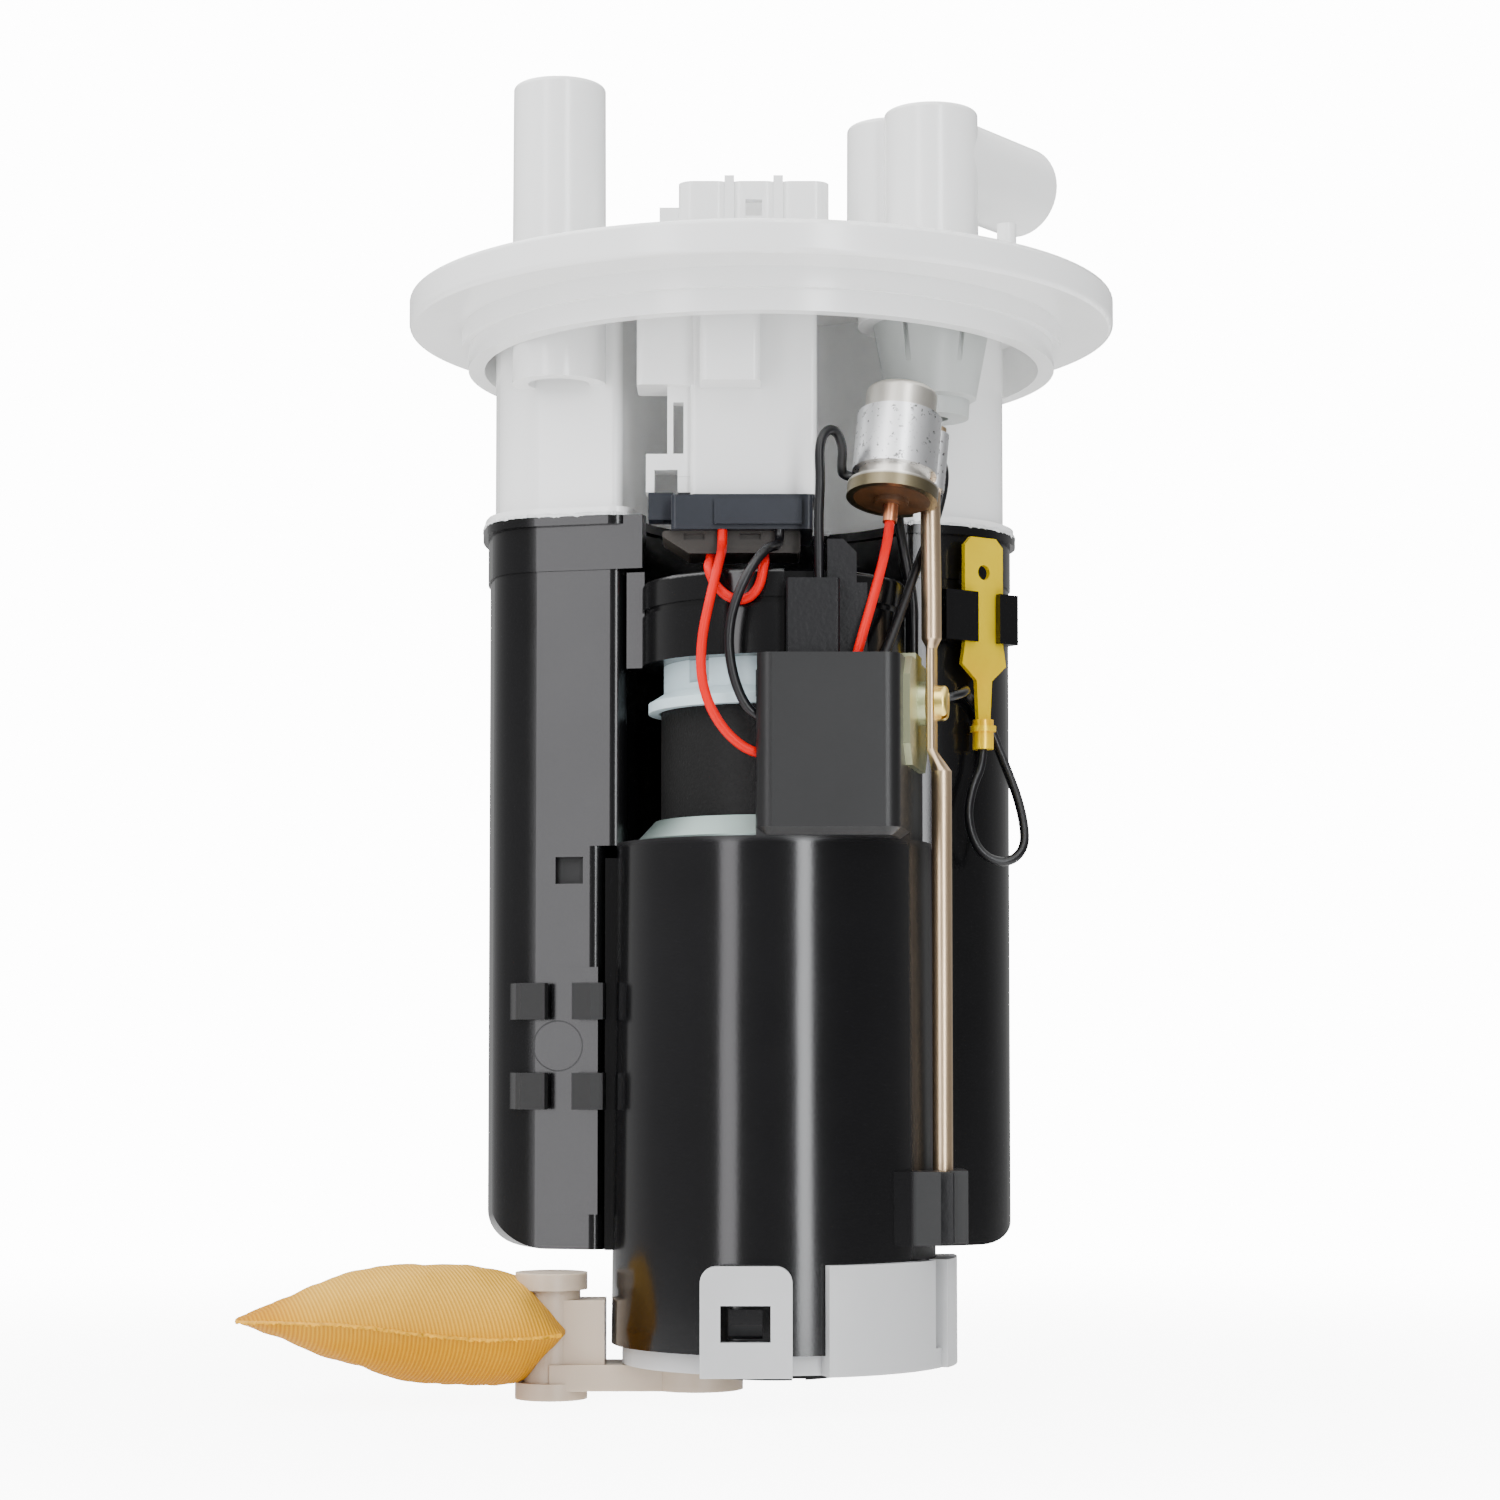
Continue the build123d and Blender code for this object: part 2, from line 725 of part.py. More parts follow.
with BuildPart() as pump_casing:
    with BuildSketch(pump_section):
        with BuildLine():
            Polyline(
                (cover_radius - 1.2, pump_bottom),
                (pump_radius - roll_depth, pump_bottom),
                (pump_radius, pump_bottom + roll_depth),
                (pump_radius, shoulder_bottom),
                (cap_radius + 0.9, shoulder_top),
                (cap_radius + sliding_fit, shoulder_top - 0.4),
                (cap_radius + sliding_fit, shoulder_top - 1.4),
                (casing_inner, shoulder_bottom - 1.0),
                (casing_inner, pump_bottom + 1.2),
                (cover_radius - 1.2, pump_bottom + 1.2),
                close=True,
            )
        make_face()
    revolve(axis=pump_axis)
save(pump_casing, "pump_casing")

# Stack heights inside the casing, from the bottom up
cover_bottom = pump_bottom + 1.2
chamber_floor = cover_bottom + inlet_cover_height - impeller_thickness - 2 * impeller_clearance
cover_top = cover_bottom + inlet_cover_height
body_top = cover_top + body_plate_height
magnet_bottom = body_top + 1.0
armature_bottom = body_top + 4.0
armature_top = armature_bottom + armature_height
commutator_top = armature_top + commutator_height
inlet_port = (pump_centre[0] - inlet_offset, pump_centre[1])
nipple_centre = (pump_centre[0], pump_centre[1] + nipple_offset)
bearing_radius = 5.0
bearing_height = 5.0

with BuildPart() as pump_inlet_cover:
    with BuildSketch(level(cover_bottom, pump_centre)):
        Circle(cover_radius)
    extrude(amount=inlet_cover_height)
    with BuildSketch(level(pump_bottom, pump_centre)):
        Circle(cover_radius - 1.3)
    extrude(amount=cover_bottom - pump_bottom)
    # Impeller chamber, with the flow channel as an open ring below the vanes
    with BuildSketch(level(chamber_floor, pump_centre)):
        Circle(impeller_radius + 2 * impeller_clearance)
    extrude(amount=cover_top - chamber_floor, mode=Mode.SUBTRACT)
    with BuildSketch(level(chamber_floor - 1.2)):
        add(sector(pump_centre, inlet_offset - 2.0, inlet_offset + 2.0, -160, 150))
    extrude(amount=1.2, mode=Mode.SUBTRACT)
    # Inlet nipple for the strainer's socket
    with BuildSketch(level(pump_bottom - inlet_length, inlet_port)):
        Circle(inlet_radius)
    extrude(amount=inlet_length)
    with BuildSketch(level(pump_bottom - inlet_length, inlet_port)):
        Circle(inlet_bore_radius)
    extrude(amount=chamber_floor - pump_bottom + inlet_length, mode=Mode.SUBTRACT)
    # Thrust pad recess under the shaft
    with BuildSketch(level(chamber_floor - 1.6, pump_centre)):
        Circle(shaft_radius + 0.4)
    extrude(amount=1.6, mode=Mode.SUBTRACT)
save(pump_inlet_cover, "pump_inlet_cover")

with BuildPart() as pump_body_plate:
    with BuildSketch(level(cover_top, pump_centre)):
        Circle(cover_radius)
        Circle(bearing_radius + 0.01, mode=Mode.SUBTRACT)
    extrude(amount=body_plate_height)
    with BuildSketch(level(cover_top, pump_centre)):
        Circle(shaft_radius + 0.3)
        Circle(bearing_radius + 0.01, mode=Mode.ADD)
        Circle(shaft_radius + 0.3, mode=Mode.SUBTRACT)
    extrude(amount=body_plate_height - bearing_height)
    with BuildSketch(level(cover_top)):
        add(sector(pump_centre, inlet_offset - 2.0, inlet_offset + 2.0, -160, 150))
    extrude(amount=1.2, mode=Mode.SUBTRACT)
    side_exit = (pump_centre[0] + inlet_offset * cos(radians(150)), pump_centre[1] + 6.0)
    with BuildSketch(level(cover_top, side_exit)):
        Circle(1.8)
    extrude(amount=body_plate_height, mode=Mode.SUBTRACT)
save(pump_body_plate, "pump_body_plate")

with BuildPart() as lower_bearing:
    with BuildSketch(level(body_top - bearing_height, pump_centre)):
        Circle(bearing_radius)
        Circle(shaft_radius + running_fit, mode=Mode.SUBTRACT)
    extrude(amount=bearing_height)
save(lower_bearing, "lower_bearing")

# Rotor: impeller, shaft, armature and commutator turn together
with BuildPart() as impeller:
    with BuildSketch(level(chamber_floor + impeller_clearance, pump_centre)):
        Circle(impeller_radius)
        Circle(shaft_radius, mode=Mode.SUBTRACT)
    extrude(amount=impeller_thickness)
    with BuildSketch(level(chamber_floor + impeller_clearance, pump_centre)):
        with PolarLocations(inlet_offset, vane_count):
            Rectangle(3.6, 1.7)
    extrude(amount=impeller_thickness, mode=Mode.SUBTRACT)
save(impeller, "impeller")

shaft_bottom = chamber_floor - 0.4
with BuildPart() as pump_shaft:
    with BuildSketch(level(shaft_bottom, pump_centre)):
        Circle(shaft_radius)
    extrude(amount=commutator_top + 13 - shaft_bottom)
save(pump_shaft, "pump_shaft")

with BuildPart() as armature:
    with BuildSketch(level(armature_bottom, pump_centre)):
        Circle(armature_radius)
        with PolarLocations(armature_radius - 0.6, slot_count):
            Rectangle(2.4, 1.6, mode=Mode.SUBTRACT)
        Circle(shaft_radius, mode=Mode.SUBTRACT)
    extrude(amount=armature_height)
save(armature, "armature")

with BuildPart() as commutator:
    with BuildSketch(level(armature_top, pump_centre)):
        Circle(commutator_radius)
        Circle(shaft_radius, mode=Mode.SUBTRACT)
    extrude(amount=commutator_height)
    with BuildSketch(level(commutator_top - 1.2, pump_centre)):
        with PolarLocations(commutator_radius - 2.6, slot_count):
            Rectangle(5.4, 0.5)
    extrude(amount=1.2, mode=Mode.SUBTRACT)
save(commutator, "commutator")

with BuildPart() as magnets:
    with BuildSketch(level(magnet_bottom)):
        add(sector(pump_centre, magnet_inner_radius, cover_radius, 20, 160))
        add(sector(pump_centre, magnet_inner_radius, cover_radius, 200, 340))
    extrude(amount=magnet_height)
save(magnets, "magnets")

# Top cover: closes the casing, holds the brushes and the upper bearing, carries the nipple
cover_rim_bottom = shoulder_bottom - 7.0
brush_top = commutator_top + brush_length
spring_top = brush_top + 6.0
upper_bearing_bottom = commutator_top + 6.0
valve_seat = cap_top + 3.0

with BuildPart() as pump_top_cover:
    with BuildSketch(pump_section):
        with BuildLine():
            Polyline(
                (0, cover_rim_bottom),
                (cover_radius, cover_rim_bottom),
                (cover_radius, shoulder_bottom - 1.15),
                (cap_radius, shoulder_top - 1.55),
                (cap_radius, cap_top - 0.5),
                (cap_radius - 0.5, cap_top),
                (0, cap_top),
                close=True,
            )
        make_face()
    revolve(axis=pump_axis)
    with BuildSketch(level(cover_rim_bottom, pump_centre)):
        Circle(commutator_radius + 1.2)
    extrude(amount=commutator_top + 1.0 - cover_rim_bottom, mode=Mode.SUBTRACT)
    with BuildSketch(level(cover_rim_bottom, pump_centre)):
        Circle(bearing_radius + 0.01)
    extrude(amount=upper_bearing_bottom + bearing_height - cover_rim_bottom, mode=Mode.SUBTRACT)
    with BuildSketch(level(cover_rim_bottom, pump_centre)):
        Circle(shaft_radius + 0.5)
    extrude(amount=commutator_top + 14 - cover_rim_bottom, mode=Mode.SUBTRACT)
    with BuildSketch(level(cover_rim_bottom, pump_centre)):
        with Locations((-brush_offset, 0), (brush_offset, 0)):
            Rectangle(brush_side + 2 * sliding_fit, brush_side + 2 * sliding_fit)
    extrude(amount=spring_top - cover_rim_bottom, mode=Mode.SUBTRACT)
    # Outlet nipple, with the seat of the check valve at its foot
    with BuildSketch(level(cap_top, nipple_centre)):
        Circle(nipple_radius)
    extrude(amount=nipple_top - cap_top)
    with BuildSketch(level(valve_seat, nipple_centre)):
        Circle(nipple_bore_radius)
    extrude(amount=nipple_top - valve_seat, mode=Mode.SUBTRACT)
    with BuildSketch(level(cover_rim_bottom, nipple_centre)):
        Circle(1.9)
    extrude(amount=valve_seat - cover_rim_bottom, mode=Mode.SUBTRACT)
save(pump_top_cover, "pump_top_cover")

with BuildPart() as upper_bearing:
    with BuildSketch(level(upper_bearing_bottom, pump_centre)):
        Circle(bearing_radius)
        Circle(shaft_radius + running_fit, mode=Mode.SUBTRACT)
    extrude(amount=bearing_height)
save(upper_bearing, "upper_bearing")

with BuildPart() as brushes:
    with BuildSketch(level(commutator_top, pump_centre)):
        with Locations((-brush_offset, 0), (brush_offset, 0)):
            Rectangle(brush_side, brush_side)
    extrude(amount=brush_length)
save(brushes, "brushes")

with BuildPart() as brush_springs:
    with BuildSketch(level(brush_top, pump_centre)):
        with Locations((-brush_offset, 0), (brush_offset, 0)):
            Circle(brush_side / 2 - 0.2)
            Circle(brush_side / 2 - 0.8, mode=Mode.SUBTRACT)
    extrude(amount=spring_top - brush_top)
save(brush_springs, "brush_springs")

# Check valve in the nipple: a plunger that lifts off its seat against a spring
valve_head_height = 2.0
valve_cage_bottom = valve_seat + 5.4
with BuildPart() as check_valve:
    with BuildSketch(level(valve_seat, nipple_centre)):
        Circle(2.8)
    extrude(amount=valve_head_height)
    with BuildSketch(level(valve_seat + valve_head_height, nipple_centre)):
        Circle(0.9)
    extrude(amount=4.4)
save(check_valve, "check_valve")

with BuildPart() as valve_cage:
    with BuildSketch(level(valve_cage_bottom, nipple_centre)):
        Circle(nipple_bore_radius - 0.01)
        Circle(0.9 + sliding_fit, mode=Mode.SUBTRACT)
        with PolarLocations(2.3, 3):
            Circle(0.9, mode=Mode.SUBTRACT)
    extrude(amount=1.2)
save(valve_cage, "valve_cage")

with BuildPart() as check_valve_spring:
    with BuildSketch(level(valve_seat + valve_head_height, nipple_centre)):
        Circle(2.0)
        Circle(1.3, mode=Mode.SUBTRACT)
    extrude(amount=valve_cage_bottom - valve_seat - valve_head_height)
save(check_valve_spring, "check_valve_spring")

# Spacer ring on the cap, with a flared lip and a notch
with BuildPart() as spacer_ring:
    with BuildSketch(pump_section):
        with BuildLine():
            Polyline(
                (0, cap_top),
                (cap_radius + loose_fit, cap_top),
                (cap_radius + loose_fit, cap_top - 1.2),
                (spacer_lip_radius, cap_top - 1.2),
                (spacer_lip_radius, cap_top + 0.3),
                (spacer_radius, cap_top + 1.8),
                (spacer_radius, spacer_top),
                (0, spacer_top),
                close=True,
            )
        make_face()
    revolve(axis=pump_axis)
    with BuildSketch(level(cap_top - 2, nipple_centre)):
        Circle(nipple_radius + sliding_fit)
    extrude(amount=spacer_top - cap_top + 3, mode=Mode.SUBTRACT)
    with BuildSketch(level(cap_top + 2.6, (pump_centre[0] - 11.5, pump_centre[1] - 15))):
        Rectangle(3.0, 8)
    extrude(amount=6, mode=Mode.SUBTRACT)
save(spacer_ring, "spacer_ring")

# Top holder: a disc over the nipple, with the duct to the canister and a lug at the wing
with BuildPart() as top_holder:
    with BuildSketch(level(spacer_top, pump_centre)):
        Circle(holder_disc_radius)
    extrude(amount=holder_disc_top - spacer_top)
    with BuildSketch(level(holder_disc_top - 5.2, pump_centre)):
        Circle(holder_disc_radius + 0.1)
        Circle(holder_disc_radius - 0.5, mode=Mode.SUBTRACT)
    extrude(amount=0.9, mode=Mode.SUBTRACT)
    fillet(top_holder.edges().filter_by(GeomType.CIRCLE).group_by(Axis.Z)[-1], 0.7)
    with BuildSketch(Plane(origin=(*nipple_centre, duct_height), x_dir=(1, 0, 0), z_dir=(0, 1, 0))):
        Circle(duct_radius)
    extrude(amount=upper_slot_radius + canister_wall + 0.6 - nipple_offset)
    with BuildSketch(Plane(origin=(*nipple_centre, duct_height), x_dir=(1, 0, 0), z_dir=(0, 1, 0))):
        Circle(duct_bore_radius)
    extrude(amount=upper_slot_radius + canister_wall + 2 - nipple_offset, mode=Mode.SUBTRACT)
    # Lug between the disc and the wing
    with BuildSketch(wing_level(spacer_top)):
        with Locations((lug_left, -upper_band_rise)):
            Rectangle(lug_width, 4.4, align=(Align.MIN, Align.MIN))
    extrude(amount=lug_top - spacer_top)
    # Socket of the nipple and the room for its seal
    with BuildSketch(level(spacer_top, nipple_centre)):
        Circle(nipple_radius + sliding_fit)
    extrude(amount=nipple_top + 0.5 - spacer_top, mode=Mode.SUBTRACT)
    with BuildSketch(level(spacer_top, nipple_centre)):
        Circle(nipple_radius + 2 * seal_section)
    extrude(amount=2.2, mode=Mode.SUBTRACT)
    with BuildSketch(level(spacer_top, nipple_centre)):
        Circle(nipple_bore_radius)
    extrude(amount=duct_height - spacer_top, mode=Mode.SUBTRACT)
    # Flat that clears the terminal block
    with BuildSketch(level(spacer_top - 1, (terminal_left - loose_fit, terminal_back + loose_fit))):
        Rectangle(30, 20, align=(Align.MIN, Align.MAX))
    extrude(amount=30, mode=Mode.SUBTRACT)
save(top_holder, "top_holder")

with BuildPart() as nipple_seal:
    with BuildSketch(level(spacer_top, nipple_centre)):
        Circle(nipple_radius + 2 * seal_section - sliding_fit)
        Circle(nipple_radius + sliding_fit, mode=Mode.SUBTRACT)
    extrude(amount=2.0)
save(nipple_seal, "nipple_seal")

# Pump holder: sleeve, wiring box with its leaning side, rod clip and the pads to the canister
sleeve_bore = pump_radius + loose_fit
lean = tan(radians(bracket_lean))
box_side_back = -20.0


def side_wall_x(y):
    """Where the box's leaning right side stands at a given y."""
    return box_right + 1.0 + (y - box_front) * lean


# Bracket plane: its origin is the screw's centre on the box's leaning wall, z away from the box
wall_normal = Vector(cos(radians(bracket_lean)), -sin(radians(bracket_lean)))
screw_y = -31.2
bracket_plane = Plane(
    origin=(side_wall_x(screw_y), screw_y, screw_height),
    x_dir=(wall_normal.Y * -1, wall_normal.X, 0),
    z_dir=tuple(wall_normal),
)


def box_outline(inset):
    """Plan of the wiring box, with its walls moved inwards by an inset."""
    with BuildSketch() as plan:
        with BuildLine():
            Polyline(
                (box_left + inset, box_front + inset),
                (side_wall_x(box_front) - inset, box_front + inset),
                (side_wall_x(box_side_back) - inset, box_side_back - inset),
                (box_left + inset, box_side_back - inset),
                close=True,
            )
        make_face()
        fillet(plan.vertices().group_by(Axis.Y)[0], max(2.4 - inset, 0.4))
    return plan.sketch


with BuildPart() as pump_holder:
    with BuildSketch(level(sleeve_bottom, pump_centre)):
        Circle(sleeve_radius_bottom)
    extrude(
        amount=sleeve_top - sleeve_bottom,
        taper=degrees(atan2(sleeve_radius_bottom - sleeve_radius_top, sleeve_top - sleeve_bottom)),
    )
    # Wiring box with a sloped underside
    with BuildSketch(level(sleeve_top)):
        add(box_outline(0))
    extrude(amount=box_top - sleeve_top)
    lower_edges = pump_holder.edges().filter_by(lambda edge: abs(edge.center().Z - sleeve_top) < 0.01)
    chamfer(lower_edges.sort_by(Axis.Y)[0], 1.2)
    with BuildSketch(level(box_floor)):
        add(box_outline(box_wall))
    extrude(amount=box_top - box_floor, mode=Mode.SUBTRACT)
    # Mouth in the left wall for the pump's wires, and the notch in the upper left edge
    with BuildSketch(Plane.YZ.offset(box_left - 1)):
        with Locations((-43.6, -70.5)):
            Rectangle(5.2, 13.0)
        with Locations((-43.5, box_top)):
            Rectangle(6.0, 5.0)
    extrude(amount=box_wall + 2, mode=Mode.SUBTRACT)
    # Boss inside the leaning wall, bored for the bracket's screw
    with BuildSketch(bracket_plane.offset(-box_wall - 1)):
        Circle(3.4)
    extrude(amount=box_wall)
    with BuildSketch(bracket_plane.offset(-box_wall - 2)):
        Circle(screw_radius + 0.01)
    extrude(amount=box_wall + 4, mode=Mode.SUBTRACT)
    # Rod clip
    with BuildSketch(level(rod_clip_bottom)):
        with Locations((rod_foot[0] + 3.6, rod_foot[1] - 4.0)):
            Rectangle(12.0, 11.0, align=(Align.MAX, Align.MIN))
        with Locations((rod_foot[0] - 0.8, rod_foot[1] - 8.5)):
            Rectangle(7.4, 14.0, align=(Align.MAX, Align.MIN))
    extrude(amount=rod_clip_top - rod_clip_bottom)
    with BuildSketch(level(rod_clip_bottom, rod_foot)):
        Circle(rod_radius + sliding_fit)
        Rectangle(1.7, 6, align=(Align.CENTER, Align.MAX))
    extrude(amount=rod_clip_top - rod_clip_bottom, mode=Mode.SUBTRACT)
    # Pads that carry the sleeve in the canister's slot
    with BuildSketch(level(case_bottom)):
        add(sector(pump_centre, sleeve_bore + 1, lower_slot_radius - sliding_fit, 160, 179))
        add(sector(pump_centre, sleeve_bore + 1, lower_slot_radius - sliding_fit, 26, 46))
        add(sector(pump_centre, sleeve_bore + 1, lower_slot_radius - sliding_fit, 84, 96))
    extrude(amount=slot_step - 2 - case_bottom)
    # Hook behind the retainer's window
    with BuildSketch(Plane.YZ.offset(tab_window[0] + 1.2)):
        with BuildLine():
            Polyline(
                (-45.0, tab_window_bottom + 0.4),
                (-47.2, tab_window_bottom + 0.4),
                (-48.8, tab_window_bottom + 2.6),
                (-48.8, tab_window_top - 0.6),
                (-45.0, tab_window_top - 0.6),
                close=True,
            )
        make_face()
    extrude(amount=tab_window[1] - tab_window[0] - 2.4)
    with BuildSketch(level(sleeve_bottom - 1, pump_centre)):
        Circle(sleeve_bore)
    extrude(amount=box_top - sleeve_bottom + 2, mode=Mode.SUBTRACT)
save(pump_holder, "pump_holder")

# Terminal block: stands in the wiring box and takes the wires' ends
with BuildPart() as terminal_block:
    terminal_middle = (terminal_left + terminal_right) / 2
    terminal_width = terminal_right - terminal_left
    terminal_depth = terminal_back - terminal_front
    lower_depth = terminal_lower_back - terminal_front
    with BuildSketch(level(cap_top + 3.2, (terminal_middle, terminal_front))):
        Rectangle(terminal_width, terminal_depth, align=(Align.CENTER, Align.MIN))
    extrude(amount=terminal_top - cap_top - 3.2)
    fillet(terminal_block.edges().filter_by(Axis.Z), 0.5)
    with BuildSketch(level(terminal_bottom, (terminal_middle, terminal_front))):
        Rectangle(terminal_width, lower_depth, align=(Align.CENTER, Align.MIN))
    extrude(amount=cap_top + 3.2 - terminal_bottom)
    with BuildSketch(level(terminal_bottom, (terminal_left, terminal_front))):
        Rectangle(terminal_ledge_right - terminal_left, lower_depth, align=(Align.MIN, Align.MIN))
    extrude(amount=terminal_ledge_top - terminal_bottom)
    # Column beside the block and riser behind it
    with BuildSketch(level(cap_top + 3.2, (terminal_right - 0.5, terminal_front + column_depth))):
        Rectangle(
            column_right - terminal_right + 0.5, terminal_depth - column_depth, align=(Align.MIN, Align.MIN)
        )
    extrude(amount=terminal_top - 0.4 - cap_top - 3.2)
    with BuildSketch(level(terminal_top - 4, (riser_left, terminal_back))):
        Rectangle(riser_right - riser_left, terminal_depth - column_depth, align=(Align.MIN, Align.MAX))
    extrude(amount=riser_top - terminal_top + 4)
    chamfer(terminal_block.edges().filter_by(Axis.Y).group_by(Axis.Z)[-1].sort_by(Axis.X)[-1], 2.0)
save(terminal_block, "terminal_block")

# Bottom retainer: a plate under the sleeve with two wrap tabs and a windowed front tab
plate_bottom = sleeve_bottom - plate_thickness
tab_inner = sleeve_radius_bottom + 0.15
front_tab_y = pump_centre[1] - sleeve_radius_bottom - 0.5

with BuildPart() as bottom_retainer:
    with BuildSketch(level(plate_bottom)):
        with Locations(pump_centre):
            Circle(plate_radius)
        with Locations(((front_tab[0] + front_tab[1]) / 2, front_tab_y)):
            Rectangle(front_tab[1] - front_tab[0], 10, align=(Align.CENTER, Align.MIN))
        add(sector(pump_centre, plate_radius - 4, tab_inner + tab_wall, -73, 8))
        with Locations(inlet_port):
            Circle(inlet_radius + loose_fit, mode=Mode.SUBTRACT)
        with Locations(pump_centre):
            Circle(foot_inner_radius - 2, mode=Mode.SUBTRACT)
    extrude(amount=plate_thickness)
    with BuildSketch(level(plate_bottom)):
        add(sector(pump_centre, tab_inner, tab_inner + tab_wall, -73, -27))
        add(sector(pump_centre, tab_inner, tab_inner + tab_wall + 1.0, -22, 8))
    extrude(amount=tab_top - plate_bottom)
    with BuildSketch(Plane.XZ.offset(-front_tab_y)):
        with BuildLine():
            Polyline(
                (front_tab[0], plate_bottom),
                (front_tab[1], plate_bottom),
                (front_tab[1], tab_top),
                (front_tab[0], tab_top),
                close=True,
            )
        make_face()
        with Locations(((tab_window[0] + tab_window[1]) / 2, (tab_window_bottom + tab_window_top) / 2)):
            Rectangle(
                tab_window[1] - tab_window[0], tab_window_top - tab_window_bottom, mode=Mode.SUBTRACT
            )
    extrude(amount=tab_wall)
    tab_corners = bottom_retainer.edges().filter_by(Axis.Y).group_by(Axis.Z)[-1]
    fillet(tab_corners, 2.4)
save(bottom_retainer, "bottom_retainer")

# Rubber foot ring under the retainer, open round the strainer's socket
with BuildPart() as foot_ring:
    with BuildSketch(level(plate_bottom - foot_height, pump_centre)):
        Circle(foot_outer_radius)
        Circle(foot_inner_radius, mode=Mode.SUBTRACT)
        with Locations((-inlet_offset, 0)):
            Circle(socket_boss_radius + loose_fit, mode=Mode.SUBTRACT)
    extrude(amount=foot_height)
    with BuildSketch(level(plate_bottom - foot_height, (5.6, pump_centre[1] - foot_outer_radius + 1))):
        Rectangle(2.0, 4.0)
    extrude(amount=0.9, mode=Mode.SUBTRACT)
save(foot_ring, "foot_ring")

# Strainer frame: hub with two collars, hollow arm, and the socket on the pump's inlet
with BuildPart() as strainer_frame:
    with BuildSketch(level(hub_bottom, hub_centre)):
        Circle(hub_radius)
    extrude(amount=hub_top - hub_bottom)
    with BuildSketch(level(hub_bottom, hub_centre)):
        Circle(collar_radius)
    extrude(amount=collar_height)
    with BuildSketch(level(hub_top - collar_height, hub_centre)):
        Circle(collar_radius)
    extrude(amount=collar_height)
    # Arm: low under the retainer's plate, tall beside the sleeve
    with BuildSketch(level(arm_floor, (hub_centre[0], hub_centre[1]))):
        Rectangle(inlet_port[0] - hub_centre[0], arm_width, align=(Align.MIN, Align.CENTER))
    extrude(amount=plate_bottom - 0.2 - arm_floor)
    with BuildSketch(level(arm_floor, (hub_centre[0] + 2.0, hub_centre[1]))):
        Rectangle(6.4, arm_width - 2, align=(Align.MIN, Align.CENTER))
    extrude(amount=-155.4 - arm_floor)
    with BuildSketch(level(arm_floor, inlet_port)):
        Circle(socket_boss_radius)
    extrude(amount=plate_bottom - arm_floor)
    with BuildSketch(level(plate_bottom - inlet_length + plate_thickness, inlet_port)):
        Circle(inlet_radius + sliding_fit)
    extrude(amount=10, mode=Mode.SUBTRACT)
    # Flow duct from the hub to the socket
    with BuildSketch(level(arm_floor + 1.2, (hub_centre[0] - 1.5, hub_centre[1]))):
        Rectangle(inlet_port[0] - hub_centre[0] + 1.5, 4.4, align=(Align.MIN, Align.CENTER))
    extrude(amount=1.8, mode=Mode.SUBTRACT)
    with BuildSketch(level(arm_floor + 1.2, hub_centre)):
        Circle(hub_radius - 1.5)
    extrude(amount=hub_top - 3 - arm_floor - 1.2, mode=Mode.SUBTRACT)
    with BuildSketch(Plane.YZ.offset(hub_centre[0] - hub_radius - 1)):
        with Locations((hub_centre[1], -160.5)):
            Rectangle(3.0, 8.0)
    extrude(amount=hub_radius + 1, mode=Mode.SUBTRACT)
save(strainer_frame, "strainer_frame")

# Strainer sock: a mesh pillow, sealed flat at its far end and closed round the hub
sock_sections = (
    (sock_tip, 15.0, -158.35, 0.35, 0.35),
    (-70.7, 15.6, -158.5, 3.7, 3.4),
    (-54.0, sock_half_width, -159.0, 8.6, 8.0),
    (-43.0, sock_half_width, -159.8, 8.4, 9.2),
    (-34.5, 15.6, -160.2, 6.0, 7.2),
    (sock_corner, 14.6, -160.2, 4.2, 5.0),
)
with BuildPart() as strainer_sock:
    for section_x, half, middle_z, rise, fall in sock_sections:
        section = Plane(origin=(section_x, hub_centre[1], middle_z), x_dir=(0, 1, 0), z_dir=(1, 0, 0))
        with BuildSketch(section):
            with BuildLine():
                ThreePointArc((-half, 0), (0, rise), (half, 0))
                ThreePointArc((half, 0), (0, -fall), (-half, 0))
            make_face()
    loft()
    with BuildSketch(level(hub_bottom - 1, hub_centre)):
        Circle(collar_radius + loose_fit)
    extrude(amount=30, mode=Mode.SUBTRACT)
    with BuildSketch(level(arm_floor - 1, (hub_centre[0], hub_centre[1]))):
        Rectangle(12, arm_width + 2 * loose_fit, align=(Align.MIN, Align.CENTER))
    extrude(amount=30, mode=Mode.SUBTRACT)
save(strainer_sock, "strainer_sock")

